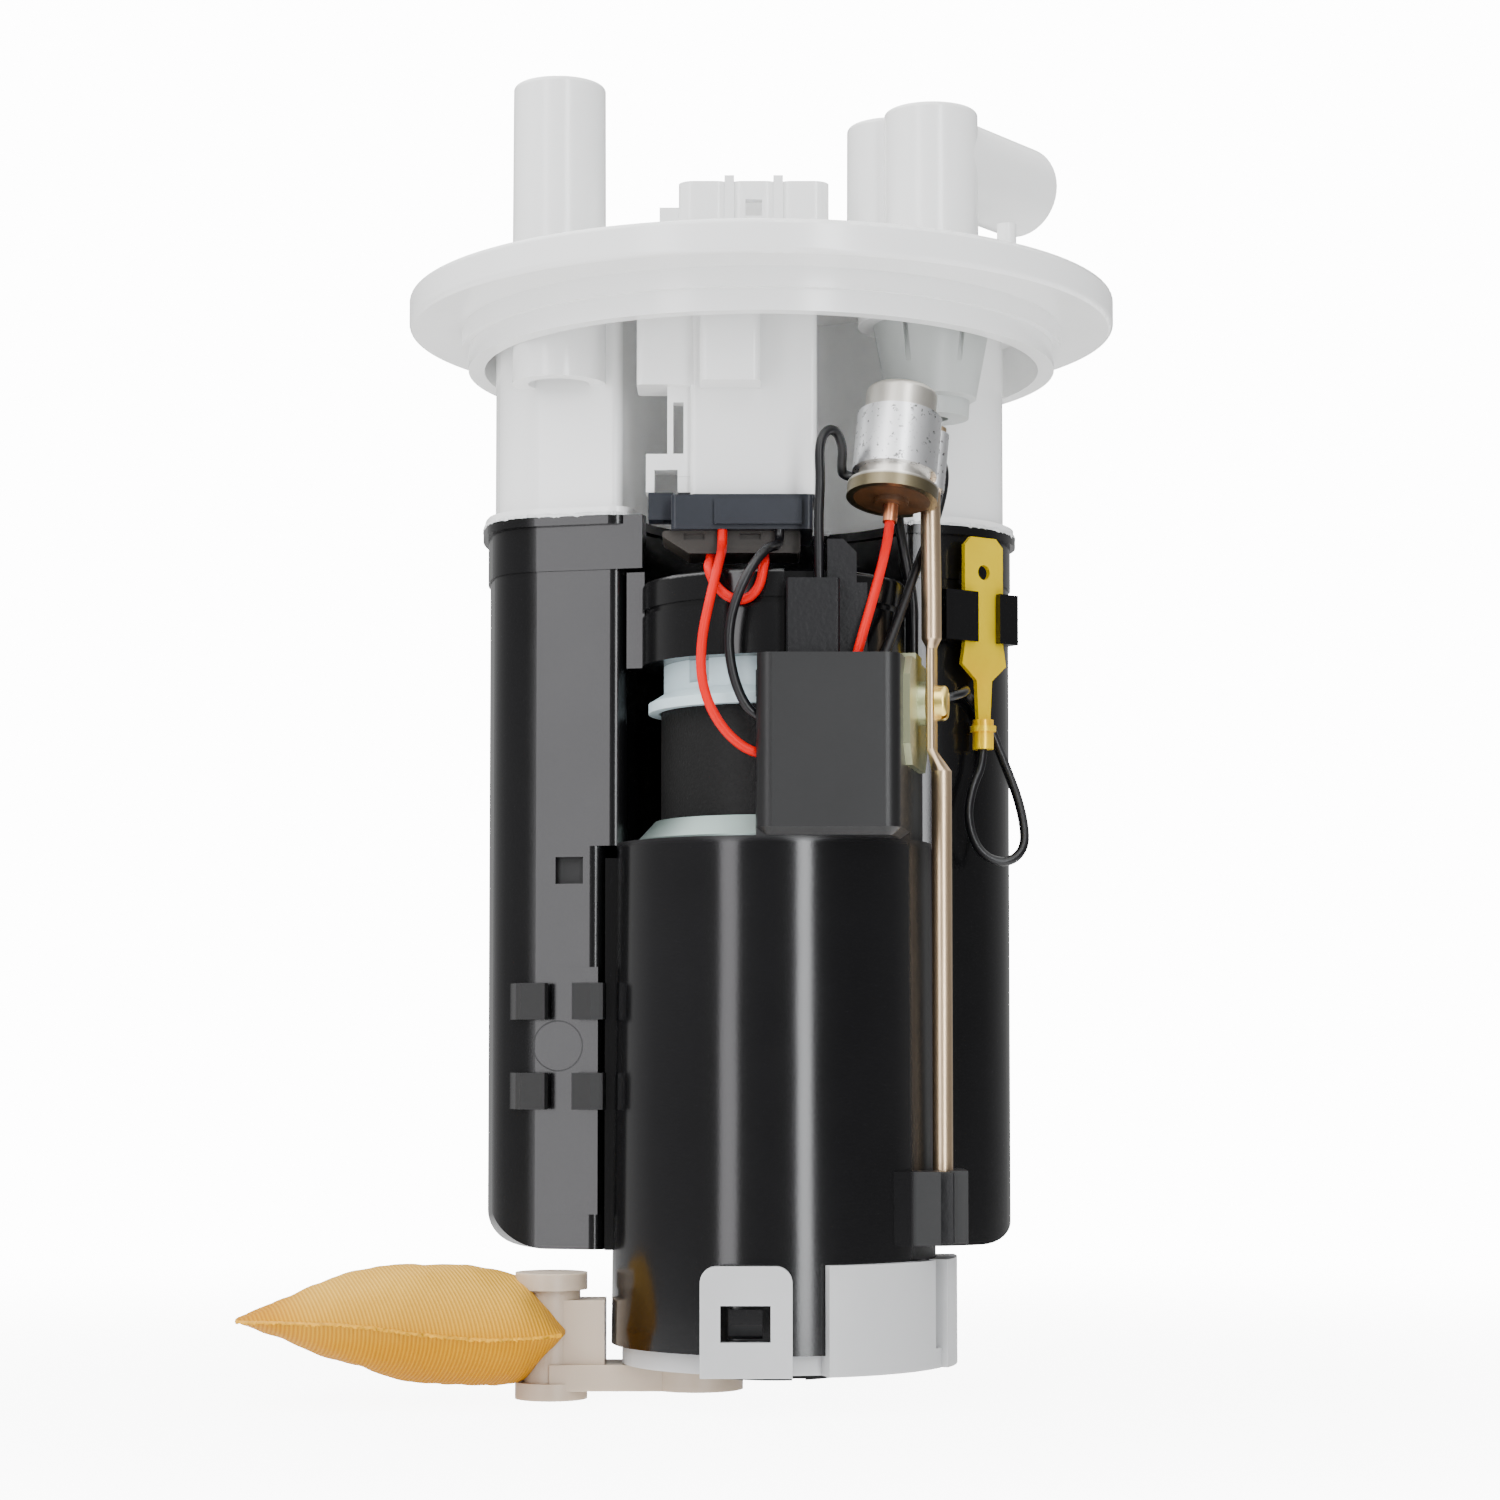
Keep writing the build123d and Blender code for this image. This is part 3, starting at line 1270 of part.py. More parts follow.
# Harness plug in the connector block, with its side lock and the retainer comb
plug_middle = ((block_left + block_right) / 2, (block_front + block_back) / 2)
with BuildPart() as harness_plug:
    with BuildSketch(level(plug_bottom)):
        with BuildLine():
            Polyline(
                (plug_left, plug_front),
                (plug_right, plug_front),
                (plug_right, block_back - 1),
                (plug_left, block_back - 1),
                close=True,
            )
        make_face()
    extrude(amount=plug_top - plug_bottom)
    fillet(harness_plug.edges().filter_by(Axis.Z), 0.8)
    # Shoulder under the block, and the body that fills it
    with BuildSketch(level(plug_top, plug_middle)):
        Rectangle(block_right - block_left - 0.8, block_back - block_front - 0.8)
    extrude(amount=block_bottom - plug_top)
    with BuildSketch(level(block_bottom, plug_middle)):
        Rectangle(
            block_right - block_left - 2 * block_wall - 2 * sliding_fit,
            block_back - block_front - 2 * block_wall - 2 * sliding_fit,
        )
    extrude(amount=block_roof - 0.5 - block_bottom)
    with BuildSketch(level(pin_bottom - 1, (plug_middle[0], pin_row_y))):
        with GridLocations(pin_pitch, 0, pin_count, 1):
            Rectangle(pin_width + 2 * sliding_fit, pin_thickness + 2 * sliding_fit)
    extrude(amount=30, mode=Mode.SUBTRACT)
    # Raised front face with two parting grooves
    with BuildSketch(Plane.XZ.offset(-plug_front)):
        with Locations((-0.6, (plug_top + plug_bottom) / 2)):
            Rectangle(13.4, plug_top - plug_bottom - 1.4)
    extrude(amount=0.7)
    # Side lock
    with BuildSketch(level(-35.4, (plug_left + 0.3, -29.5))):
        Rectangle(3.9, 4.6, align=(Align.MAX, Align.CENTER))
    extrude(amount=4.2)
    with BuildSketch(level(-35.4, (plug_left - 0.6, -29.5))):
        Rectangle(1.5, 3.0)
    extrude(amount=3.4, mode=Mode.SUBTRACT)
save(harness_plug, "harness_plug")

with BuildPart() as plug_retainer:
    with BuildSketch(Plane.XZ.offset(-retainer_front)):
        with BuildLine():
            Polyline(
                (retainer_left, plug_bottom),
                (retainer_left, plug_bottom - 0.9),
                (retainer_left + 4.1, retainer_bottom),
                (retainer_right, retainer_bottom),
                (retainer_right, plug_bottom),
                close=True,
            )
        make_face()
    extrude(amount=retainer_front - retainer_back)
    fillet(plug_retainer.edges().filter_by(Axis.Y), 0.5)
    with BuildSketch(level(retainer_bottom, (retainer_left + 8.2, retainer_front - 0.5))):
        Rectangle(retainer_right - retainer_left - 9.4, 2.0, align=(Align.MIN, Align.MIN))
    extrude(amount=1.3)
    with BuildSketch(Plane.XZ.offset(-retainer_front - 0.6)):
        with Locations((-10.4, plug_bottom - 0.9), (-1.8, plug_bottom - 0.9)):
            Rectangle(3.2, 0.9)
    extrude(amount=1.4, mode=Mode.SUBTRACT)
save(plug_retainer, "plug_retainer")

with BuildPart() as connector_pins:
    with BuildSketch(level(pin_bottom, (plug_middle[0], pin_row_y))):
        with GridLocations(pin_pitch, 0, pin_count, 1):
            Rectangle(pin_width - 0.02, pin_thickness - 0.02)
    extrude(amount=pin_top - pin_bottom)
save(connector_pins, "connector_pins")

# Pressure regulator under the front tower, held by its petal cap
cap_seat = -step_depth
regulator_section = Plane(origin=(*front_tower, 0), x_dir=(1, 0, 0), z_dir=(0, -1, 0))
regulator_axis = Axis((*front_tower, 0), vertical)
petal_top_radius = 9.2
petal_foot_radius = 7.0
petal_foot = -14.6
nozzle_bottom = -17.7
petal_count = 6

with BuildPart() as regulator_cap:
    with BuildSketch(regulator_section):
        with BuildLine():
            Polyline(
                (2.6, nozzle_bottom),
                (5.8, nozzle_bottom),
                (6.0, petal_foot - 0.4),
                (petal_foot_radius, petal_foot),
                (petal_top_radius, cap_seat),
                (petal_top_radius - 1.7, cap_seat),
                (petal_foot_radius - 1.6, petal_foot + 1.6),
                (2.6, petal_foot + 0.4),
                close=True,
            )
        make_face()
    revolve(axis=regulator_axis)
    with BuildSketch(level(petal_foot + 2.4, front_tower)):
        with PolarLocations(petal_top_radius, petal_count, start_angle=240):
            Rectangle(2.6, 0.9)
    extrude(amount=cap_seat - petal_foot - 2.4, mode=Mode.SUBTRACT)
save(regulator_cap, "regulator_cap")

regulator_neck = regulator_bore_radius - sliding_fit
regulator_seat = 6.0
with BuildPart() as regulator_body:
    with BuildSketch(regulator_section):
        with BuildLine():
            Polyline(
                (1.6, regulator_seat),
                (regulator_neck, regulator_seat),
                (regulator_neck, cap_seat),
                (petal_top_radius - 2.2, cap_seat),
                (petal_top_radius - 2.2, cap_seat - 1.2),
                (5.2, cap_seat - 3.0),
                (4.6, petal_foot + 2.0),
                (2.6, petal_foot + 2.0),
                (2.6, petal_foot + 3.0),
                (4.0, petal_foot + 3.0),
                (4.0, regulator_seat - 1.4),
                (1.6, regulator_seat - 1.4),
                close=True,
            )
        make_face()
    revolve(axis=regulator_axis)
save(regulator_body, "regulator_body")

with BuildPart() as regulator_valve:
    with BuildSketch(level(regulator_seat - 1.4 - 2.0, front_tower)):
        Circle(3.2)
    extrude(amount=2.0)
    with BuildSketch(level(regulator_seat - 1.4 - 6.0, front_tower)):
        Circle(1.2)
    extrude(amount=4.0)
save(regulator_valve, "regulator_valve")

with BuildPart() as regulator_spring:
    with BuildSketch(level(petal_foot + 3.0, front_tower)):
        Circle(3.7)
        Circle(2.9, mode=Mode.SUBTRACT)
    extrude(amount=regulator_seat - 3.4 - petal_foot - 3.0)
save(regulator_spring, "regulator_spring")

# Noise condenser, leaning back on the rod: can, strap, insulator and pin
tilt_right = tan(radians(condenser_tilt_right))
tilt_back = tan(radians(condenser_tilt_back))
condenser_way = Vector(tilt_right, tilt_back, 1).normalized()
condenser_plane = Plane(origin=condenser_foot, x_dir=(1, 0, -tilt_right), z_dir=condenser_way)
# The rod passes the can at this offset, in the strap's lobe
rod_offset = strap_radius + rod_radius - 0.2
rod_bearing = 40.0
rod_spot = (rod_offset * cos(radians(rod_bearing)), rod_offset * sin(radians(rod_bearing)))

with BuildPart() as condenser_can:
    with BuildSketch(condenser_plane):
        Circle(can_rim_radius)
        with Locations(rod_spot):
            Circle(rod_radius + 3 * loose_fit, mode=Mode.SUBTRACT)
    extrude(amount=can_rim_height)
    with BuildSketch(condenser_plane.offset(can_rim_height)):
        Circle(can_radius)
    extrude(amount=can_length - can_rim_height)
    can_end = condenser_plane.origin + condenser_way * can_length
    fillet(condenser_can.faces().sort_by_distance(can_end)[0].edges(), 0.9)
    with BuildSketch(condenser_plane):
        Circle(insulator_radius + 0.01)
    extrude(amount=insulator_thickness, mode=Mode.SUBTRACT)
    with BuildSketch(condenser_plane.offset(insulator_thickness)):
        Circle(can_radius - can_wall)
    extrude(amount=can_length - can_wall - insulator_thickness, mode=Mode.SUBTRACT)
save(condenser_can, "condenser_can")

with BuildPart() as condenser_winding:
    with BuildSketch(condenser_plane.offset(insulator_thickness)):
        Circle(can_radius - can_wall - 0.02)
    extrude(amount=can_length - can_wall - insulator_thickness)
save(condenser_winding, "condenser_winding")

with BuildPart() as condenser_strap:
    with BuildSketch(condenser_plane.offset(strap_bottom)):
        Circle(strap_radius)
        with Locations(rod_spot):
            Circle(rod_radius + 0.5)
        with Locations((rod_spot[0] / 2, rod_spot[1] / 2)):
            Rectangle(rod_offset, 3.0, rotation=rod_bearing)
        Circle(can_radius + 0.005, mode=Mode.SUBTRACT)
        with Locations(rod_spot):
            Circle(rod_radius + 0.02, mode=Mode.SUBTRACT)
    extrude(amount=strap_top - strap_bottom)
save(condenser_strap, "condenser_strap")

with BuildPart() as condenser_insulator:
    with BuildSketch(condenser_plane):
        Circle(insulator_radius)
        Circle(pin_radius + 0.01, mode=Mode.SUBTRACT)
    extrude(amount=insulator_thickness)
    with BuildSketch(condenser_plane):
        Circle(2.6)
        Circle(pin_radius + 0.01, mode=Mode.SUBTRACT)
    extrude(amount=-0.8)
save(condenser_insulator, "condenser_insulator")

with BuildPart() as condenser_pin:
    with BuildSketch(condenser_plane.offset(insulator_thickness)):
        Circle(pin_radius)
    extrude(amount=-insulator_thickness - 3.6)
save(condenser_pin, "condenser_pin")

boss_height = 1.2

with BuildPart() as ground_bracket:
    with BuildSketch(bracket_plane):
        with BuildLine():
            Polyline(
                (-bracket_front, bracket_high - 3.0 - screw_height),
                (3.0 - bracket_front, bracket_high - screw_height),
                (bracket_back, bracket_high - screw_height),
                (bracket_back, bracket_low + 7.0 - screw_height),
                (bracket_back - 6.0, bracket_low - screw_height),
                (3.0 - bracket_front, bracket_low - screw_height),
                (-bracket_front, bracket_low + 3.0 - screw_height),
                close=True,
            )
        make_face()
        Circle(screw_radius + sliding_fit, mode=Mode.SUBTRACT)
    extrude(amount=bracket_thickness)
    # Tab bent over the top of the box
    with BuildSketch(bracket_plane.offset(bracket_thickness)):
        with Locations((-1.0, bracket_high - screw_height + bracket_thickness / 2)):
            Rectangle(7.0, bracket_thickness)
    extrude(amount=-bracket_thickness - bracket_tab_depth)
save(ground_bracket, "ground_bracket")

with BuildPart() as bracket_washer:
    with BuildSketch(bracket_plane.offset(bracket_thickness)):
        Circle(3.4)
        Circle(screw_radius + sliding_fit, mode=Mode.SUBTRACT)
    extrude(amount=boss_height)
save(bracket_washer, "bracket_washer")

lug_plane = bracket_plane.offset(bracket_thickness + boss_height)
lug_middle = bracket_plane.origin + wall_normal * (bracket_thickness + boss_height + flat_thickness / 2)

# Support rod: round at both ends, pressed flat and pierced where the screw passes
rod_top = condenser_plane.from_local_coords(Vector(*rod_spot, strap_top + 1.0))
rod_strap_foot = condenser_plane.from_local_coords(Vector(*rod_spot, strap_bottom - 1.2))
upper_flat = Vector(lug_middle.X, lug_middle.Y, flat_top)
lower_flat = Vector(lug_middle.X, lug_middle.Y, flat_bottom)
rod_bottom = Vector(rod_foot[0], rod_foot[1], rod_clip_bottom + 1.5)
rod_knee = Vector(rod_foot[0], rod_foot[1], flat_bottom - rod_knee_length)
rod_neck = Vector(lug_middle.X, lug_middle.Y, flat_top + rod_neck_length)
flat_plane = Plane(origin=upper_flat, x_dir=bracket_plane.x_dir, z_dir=vertical)
flat_foot_plane = Plane(origin=lower_flat, x_dir=bracket_plane.x_dir, z_dir=vertical)
neck_plane = Plane(origin=rod_neck, x_dir=bracket_plane.x_dir, z_dir=vertical)
knee_plane = Plane(origin=rod_knee, x_dir=bracket_plane.x_dir, z_dir=vertical)

with BuildPart() as support_rod:
    with BuildSketch(flat_foot_plane):
        RectangleRounded(flat_width, flat_thickness, 0.5)
    extrude(amount=flat_top - flat_bottom)
    with BuildSketch(flat_plane):
        RectangleRounded(flat_width, flat_thickness, 0.5)
    with BuildSketch(neck_plane):
        Circle(rod_radius)
    loft()
    with BuildSketch(flat_foot_plane):
        RectangleRounded(flat_width, flat_thickness, 0.5)
    with BuildSketch(knee_plane):
        Circle(rod_radius)
    loft()
    with BuildSketch(knee_plane):
        Circle(rod_radius)
    extrude(amount=rod_bottom.Z - rod_knee.Z)
    with BuildLine() as upper_route:
        FilletPolyline(rod_neck, rod_neck + Vector(0, 0, 6), rod_strap_foot, rod_top, radius=9)
    with BuildSketch(Plane(origin=rod_neck, z_dir=vertical)):
        Circle(rod_radius)
    sweep(path=upper_route.wires()[0])
    with BuildSketch(lug_plane.offset(-1)):
        Circle(screw_radius + sliding_fit)
    extrude(amount=flat_thickness + 2, mode=Mode.SUBTRACT)
save(support_rod, "support_rod")

with BuildPart() as bracket_screw:
    with BuildSketch(lug_plane.offset(flat_thickness)):
        Circle(screw_head_radius)
    extrude(amount=screw_head_height)
    fillet(bracket_screw.faces().sort_by_distance(lug_plane.origin + wall_normal * 9)[0].edges(), 0.8)
    with BuildSketch(lug_plane.offset(flat_thickness + screw_head_height - 0.9)):
        Rectangle(6.0, 0.8, rotation=60)
    extrude(amount=1.0, mode=Mode.SUBTRACT)
    with BuildSketch(lug_plane.offset(flat_thickness)):
        Circle(screw_radius)
    extrude(amount=-flat_thickness - boss_height - bracket_thickness - box_wall)
save(bracket_screw, "bracket_screw")

# Blade terminal parked in its clip, with a crimp barrel below
blade_front = Plane(
    origin=(*blade_centre, 0), x_dir=tuple(blade_side), z_dir=(blade_way.X, blade_way.Y, 0)
)
with BuildPart() as blade_terminal:
    with BuildSketch(blade_front.offset(-blade_thickness / 2)):
        with BuildLine():
            Polyline(
                (-blade_width / 2, blade_shoulder),
                (-blade_width / 2, blade_top - 1.4),
                (-blade_width / 2 + 1.4, blade_top),
                (blade_width / 2 - 1.4, blade_top),
                (blade_width / 2, blade_top - 1.4),
                (blade_width / 2, blade_shoulder),
                (blade_width / 2 + 0.6, blade_shoulder - 3.5),
                (1.6, crimp_top),
                (1.2, crimp_bottom + barrel_height - 0.5),
                (-1.2, crimp_bottom + barrel_height - 0.5),
                (-1.6, crimp_top),
                (-blade_width / 2 - 0.6, blade_shoulder - 3.5),
                close=True,
            )
        make_face()
        with Locations((0, blade_top - 5.6)):
            Circle(blade_hole_radius, mode=Mode.SUBTRACT)
    extrude(amount=blade_thickness)
    with BuildSketch(level(crimp_bottom, blade_centre)):
        Circle(1.7)
    extrude(amount=barrel_height)
    with BuildSketch(level(crimp_bottom + 2.8, blade_centre)):
        Circle(2.1)
    extrude(amount=0.9)
    with BuildSketch(level(crimp_bottom, blade_centre)):
        Circle(wire_radius + 0.02)
    extrude(amount=2.5, mode=Mode.SUBTRACT)
save(blade_terminal, "blade_terminal")


# Wires, each held at both ends. An arc at a corner is as large as its two runs allow.
def corner_radii(points):
    """The radius of each corner's arc along a wire's route."""
    radii = []
    for before, corner, after in zip(points, points[1:], points[2:]):
        run_in = Vector(*corner) - Vector(*before)
        run_out = Vector(*after) - Vector(*corner)
        turn = run_in.get_angle(run_out)
        radii.append(0.45 * min(run_in.length, run_out.length) / tan(radians(turn / 2)))
    return radii


pin_tip = condenser_plane.from_local_coords(Vector(0, 0, -3.6))
can_side = condenser_plane.from_local_coords(Vector(-can_radius - 0.02, 0, can_rim_height + 0.9))
tab_face = bracket_plane.from_local_coords(Vector(0.4, bracket_high + bracket_thickness - screw_height, 0))
plate_face = bracket_plane.from_local_coords(Vector(11.0, 2.0, bracket_thickness))
wire_y = plug_front + 0.8
bridge_y = retainer_front + 1.2


def by_blade(right, back, height):
    """A point at a height, placed from the blade terminal's centre."""
    return (blade_centre[0] + right, blade_centre[1] + back, height)


wire_routes = {
    "wire_pump_red": (
        (-6.05, wire_y, plug_bottom),
        (-6.05, wire_y, -39.1),
        (-6.1, -36.8, -40.9),
        (-6.3, -40.2, -42.3),
        (-6.8, -43.7, -44.9),
        (-7.9, -45.4, -49.8),
        (-9.1, -45.9, -55.6),
        (-9.2, -45.9, -61.5),
        (-7.6, -45.7, -66.5),
        (-4.6, -45.1, -70.6),
        (-0.6, -44.4, -73.0),
        (terminal_left, -44.4, -73.0),
    ),
    "wire_pump_black": (
        (2.7, wire_y, plug_bottom),
        (2.7, wire_y, -38.8),
        (2.4, -36.8, -40.1),
        (1.6, -40.4, -40.9),
        (0.4, -44.2, -41.9),
        (-1.9, -45.9, -45.2),
        (-4.2, -46.0, -50.2),
        (-5.1, -45.9, -55.0),
        (-4.7, -45.6, -59.6),
        (-3.6, -45.2, -63.4),
        (-1.9, -44.7, -66.4),
        (0.8, -44.4, -67.8),
        (terminal_left, -44.4, -67.8),
    ),
    "wire_bridge_red": (
        (-7.9, bridge_y, retainer_bottom),
        (-7.9, bridge_y, -42.1),
        (-7.9, -35.6, -43.1),
        (-8.0, -39.4, -43.0),
        (-8.2, -42.0, -44.4),
        (-7.1, -42.5, -47.2),
        (-4.6, -43.3, -49.4),
        (-2.0, -43.8, -49.4),
        (-0.3, -44.3, -47.4),
        (0.2, -44.2, -44.4),
        (0.4, -41.4, -42.9),
        (0.4, -36.0, -43.0),
        (0.4, bridge_y, -42.1),
        (0.4, bridge_y, retainer_bottom),
    ),
    "wire_condenser_red": (
        tuple(pin_tip),
        tuple(pin_tip - condenser_way * 2.6),
        (18.1, -41.2, -43.8),
        (16.6, -44.0, -49.4),
        (14.9, -45.2, -55.2),
        (13.6, -44.8, -60.0),
        (13.6, -44.8, terminal_ledge_top),
    ),
    "wire_condenser_black": (
        (8.6, -42.6, terminal_top),
        (8.6, -42.6, -42.0),
        (8.5, -42.6, -36.6),
        (8.8, -42.5, -31.0),
        (8.6, -42.4, -27.2),
        (8.9, -42.1, -24.6),
        (10.1, -41.2, -23.0),
        (11.5, -39.9, -23.4),
        (12.3, -38.5, -25.6),
        (12.1, -37.2, -28.0),
        tuple(can_side - condenser_plane.x_dir * 2.3),
        tuple(can_side),
    ),
    "wire_ground_loop": (
        tuple(tab_face),
        (tab_face.X, tab_face.Y, -53.4),
        (23.5, -29.2, -47.8),
        (22.3, -28.0, -41.0),
        (21.2, -27.0, -34.6),
        (21.3, -26.2, -29.4),
        (22.3, -25.6, -25.6),
        (24.4, -25.3, -23.4),
        (27.0, -25.4, -23.6),
        (28.6, -25.8, -26.2),
        (28.2, -26.4, -30.6),
        (26.6, -27.4, -36.0),
        (24.2, -29.4, -41.8),
        (22.2, -32.4, -47.2),
        (20.4, -35.8, -52.4),
        (18.9, -38.6, -56.2),
        (17.6, -41.2, -59.2),
        (16.4, -43.2, -61.6),
        (16.4, -43.2, terminal_ledge_top),
    ),
    "wire_terminal_black": (
        (*blade_centre, crimp_bottom + 2.4),
        (*blade_centre, crimp_bottom - 2.2),
        by_blade(-1.8, -1.0, -75.0),
        by_blade(-2.7, -1.9, -79.6),
        by_blade(-1.8, -2.5, -83.9),
        by_blade(0.1, -2.7, -86.4),
        by_blade(2.8, -2.5, -87.3),
        by_blade(5.1, -2.0, -86.5),
        by_blade(6.5, -1.3, -84.4),
        by_blade(6.5, -0.2, -81.2),
        by_blade(5.7, 1.1, -77.0),
        by_blade(4.3, 2.3, -72.8),
        by_blade(2.7, 3.0, -68.6),
        by_blade(1.4, 3.0, -65.0),
        by_blade(-0.5, 1.9, -62.2),
        by_blade(-2.6, 0.0, -60.3),
        by_blade(-3.0, -3.6, -59.8),
        (plate_face.X + 6.0, plate_face.Y + 2.7, -60.4),
        (plate_face.X + 4.8, plate_face.Y + 0.3, -61.2),
        tuple(plate_face + wall_normal * 2.6),
        tuple(plate_face),
    ),
}

for wire_name, route in wire_routes.items():
    arcs = corner_radii(route)
    start = Vector(*route[0])
    with BuildPart() as wire:
        with BuildLine() as path:
            FilletPolyline(*route, radius=arcs)
        with BuildSketch(Plane(origin=start, z_dir=Vector(*route[1]) - start)):
            Circle(wire_radius)
        sweep(path=path.wires()[0])
    save(wire, wire_name)
    print(wire_name, "length", round(path.wires()[0].length, 1), "radii", [round(arc, 1) for arc in arcs])
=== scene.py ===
import json
from math import cos, pi, radians, sin, tan
from random import Random

import bmesh
import bpy
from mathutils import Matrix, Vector
from mathutils.noise import noise


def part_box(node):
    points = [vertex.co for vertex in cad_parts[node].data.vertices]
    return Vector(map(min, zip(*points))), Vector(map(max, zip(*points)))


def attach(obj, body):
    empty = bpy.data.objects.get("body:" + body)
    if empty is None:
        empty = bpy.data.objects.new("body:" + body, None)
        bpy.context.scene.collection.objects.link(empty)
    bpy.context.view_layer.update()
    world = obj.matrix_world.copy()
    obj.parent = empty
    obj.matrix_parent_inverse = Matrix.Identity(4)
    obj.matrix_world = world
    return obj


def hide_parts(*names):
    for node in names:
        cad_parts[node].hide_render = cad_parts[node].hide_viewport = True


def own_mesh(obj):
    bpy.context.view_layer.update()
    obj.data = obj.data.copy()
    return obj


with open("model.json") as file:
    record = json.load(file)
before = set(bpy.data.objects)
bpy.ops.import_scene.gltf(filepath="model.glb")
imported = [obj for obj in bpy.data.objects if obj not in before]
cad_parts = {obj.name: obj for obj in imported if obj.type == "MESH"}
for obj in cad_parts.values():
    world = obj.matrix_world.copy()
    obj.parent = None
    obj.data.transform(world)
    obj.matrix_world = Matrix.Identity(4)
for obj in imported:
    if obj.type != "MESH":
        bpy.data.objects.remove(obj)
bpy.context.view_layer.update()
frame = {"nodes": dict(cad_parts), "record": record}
nodes = frame["nodes"]
scene = bpy.context.scene
MM = 0.001

# Camera: low in front of the module, looking slightly up at the flange; its place is in mm
PICTURE = 1500
FOCAL_PIXELS = 3258
SENSOR_WIDTH = 36
PITCH = 0.0549
SHIFT = 0.08
CAMERA_PLACE = (-1.83, -529.8, -116.8)

camera_data = bpy.data.cameras.new("camera")
camera = bpy.data.objects.new("camera", camera_data)
scene.collection.objects.link(camera)
scene.camera = camera
camera.location = Vector(CAMERA_PLACE) * MM
camera.rotation_euler = (pi / 2 + PITCH, 0, 0)
camera_data.sensor_width = SENSOR_WIDTH
camera_data.lens = SENSOR_WIDTH * FOCAL_PIXELS / PICTURE
camera_data.shift_y = SHIFT
camera_data.clip_start = 0.01


# Materials
def node_adder(tree):
    """A function that adds a node to a tree, links its inputs to sockets or gives them values."""

    def add(kind, inputs=None, **settings):
        node = tree.nodes.new("ShaderNode" + kind)
        for key, value in settings.items():
            setattr(node, key, value)
        for key, value in (inputs or {}).items():
            socket = node.inputs[key]
            if isinstance(value, bpy.types.NodeSocket):
                tree.links.new(value, socket)
            else:
                socket.default_value = value
        return node

    return add


def new_tree(name):
    """An empty material with its output, a function that adds nodes to it, and its tree."""
    material = bpy.data.materials.new(name)
    material.use_nodes = True
    tree = material.node_tree
    tree.nodes.clear()
    add = node_adder(tree)
    return material, add("OutputMaterial"), add, tree


def shade(colour, factor):
    """A colour made lighter or darker, with full alpha."""
    return tuple(min(1, c * factor) for c in colour[:3]) + (1,)


def blend(add, share, first, second, kind="MIX"):
    """Two colours mixed, or the first multiplied by the second; the share and the colours may be sockets."""
    return add("Mix", {0: share, 6: first, 7: second}, data_type="RGBA", blend_type=kind).outputs[2]


def ramp_up(add, value, start, end, high=1.0, low=0.0):
    """A value that runs from low to high while another runs from start to end."""
    limits = {"Value": value, "From Min": start, "From Max": end, "To Min": low, "To Max": high}
    return add("MapRange", limits).outputs["Result"]


# What face_marks goes by: heights over the face and the line's half width, in metres, and the line's weight
RAIL_PROUD = 0.0014
RECESS_PROUD = -0.0022
RECESS_REACH = 0.0019
LINE_REACH = 0.00012
LINE_PROUD = 0.0012
LINE_WEIGHT = 0.35


def face_marks(add, place, point, out, rails_below, recess, disc):
    """1 on what is moulded matte at a flat face, its rails and a recess, and less on a disc's line.

    The recess is its middle and half size along X and Z, and the disc is its middle and its radius.
    """
    parts = add("SeparateXYZ", {"Vector": place}).outputs
    moved = add("VectorMath", {0: place, 1: point}, operation="SUBTRACT").outputs["Vector"]
    proud = add("VectorMath", {0: moved, 1: out}, operation="DOT_PRODUCT").outputs["Value"]

    def both(first, second):
        return add("Math", {0: first, 1: second}, operation="MULTIPLY").outputs["Value"]

    def near(value, middle, reach):
        return add("Math", {0: value, 1: middle, 2: reach}, operation="COMPARE").outputs["Value"]

    on_rail = add("Math", {0: proud, 1: RAIL_PROUD}, operation="GREATER_THAN").outputs["Value"]
    under = add("Math", {0: parts["Z"], 1: rails_below}, operation="LESS_THAN").outputs["Value"]
    sunk = near(proud, RECESS_PROUD, RECESS_REACH)
    inside = both(near(parts["X"], recess[0], recess[2]), near(parts["Z"], recess[1], recess[3]))
    flat = add("CombineXYZ", {"X": parts["X"], "Z": parts["Z"]}).outputs["Vector"]
    offset = add("VectorMath", {0: flat, 1: (disc[0], 0, disc[1])}, operation="SUBTRACT").outputs["Vector"]
    radius = add("VectorMath", {0: offset}, operation="LENGTH").outputs["Value"]
    line = both(both(near(radius, disc[2], LINE_REACH), near(proud, 0, LINE_PROUD)), LINE_WEIGHT)
    total = add("Math", {0: both(on_rail, under), 1: both(sunk, inside)}, operation="ADD").outputs["Value"]
    return add("Math", {0: total, 1: line}, operation="ADD").outputs["Value"]


SPECK_COLOUR = (0.05, 0.048, 0.045, 1)
# How much rougher the moulded marks on a face are, and how light passes into a plastic
MARKS_ROUGHER = 0.38
LIGHT_INSIDE = (1.0, 0.95, 0.85)
LIGHT_DEPTH = 0.0015
# Over this height, in metres, a finish passes from glossy to matte, and at a rim to its tarnish
MATTE_EDGE = 0.001
RIM_EDGE = 0.0004


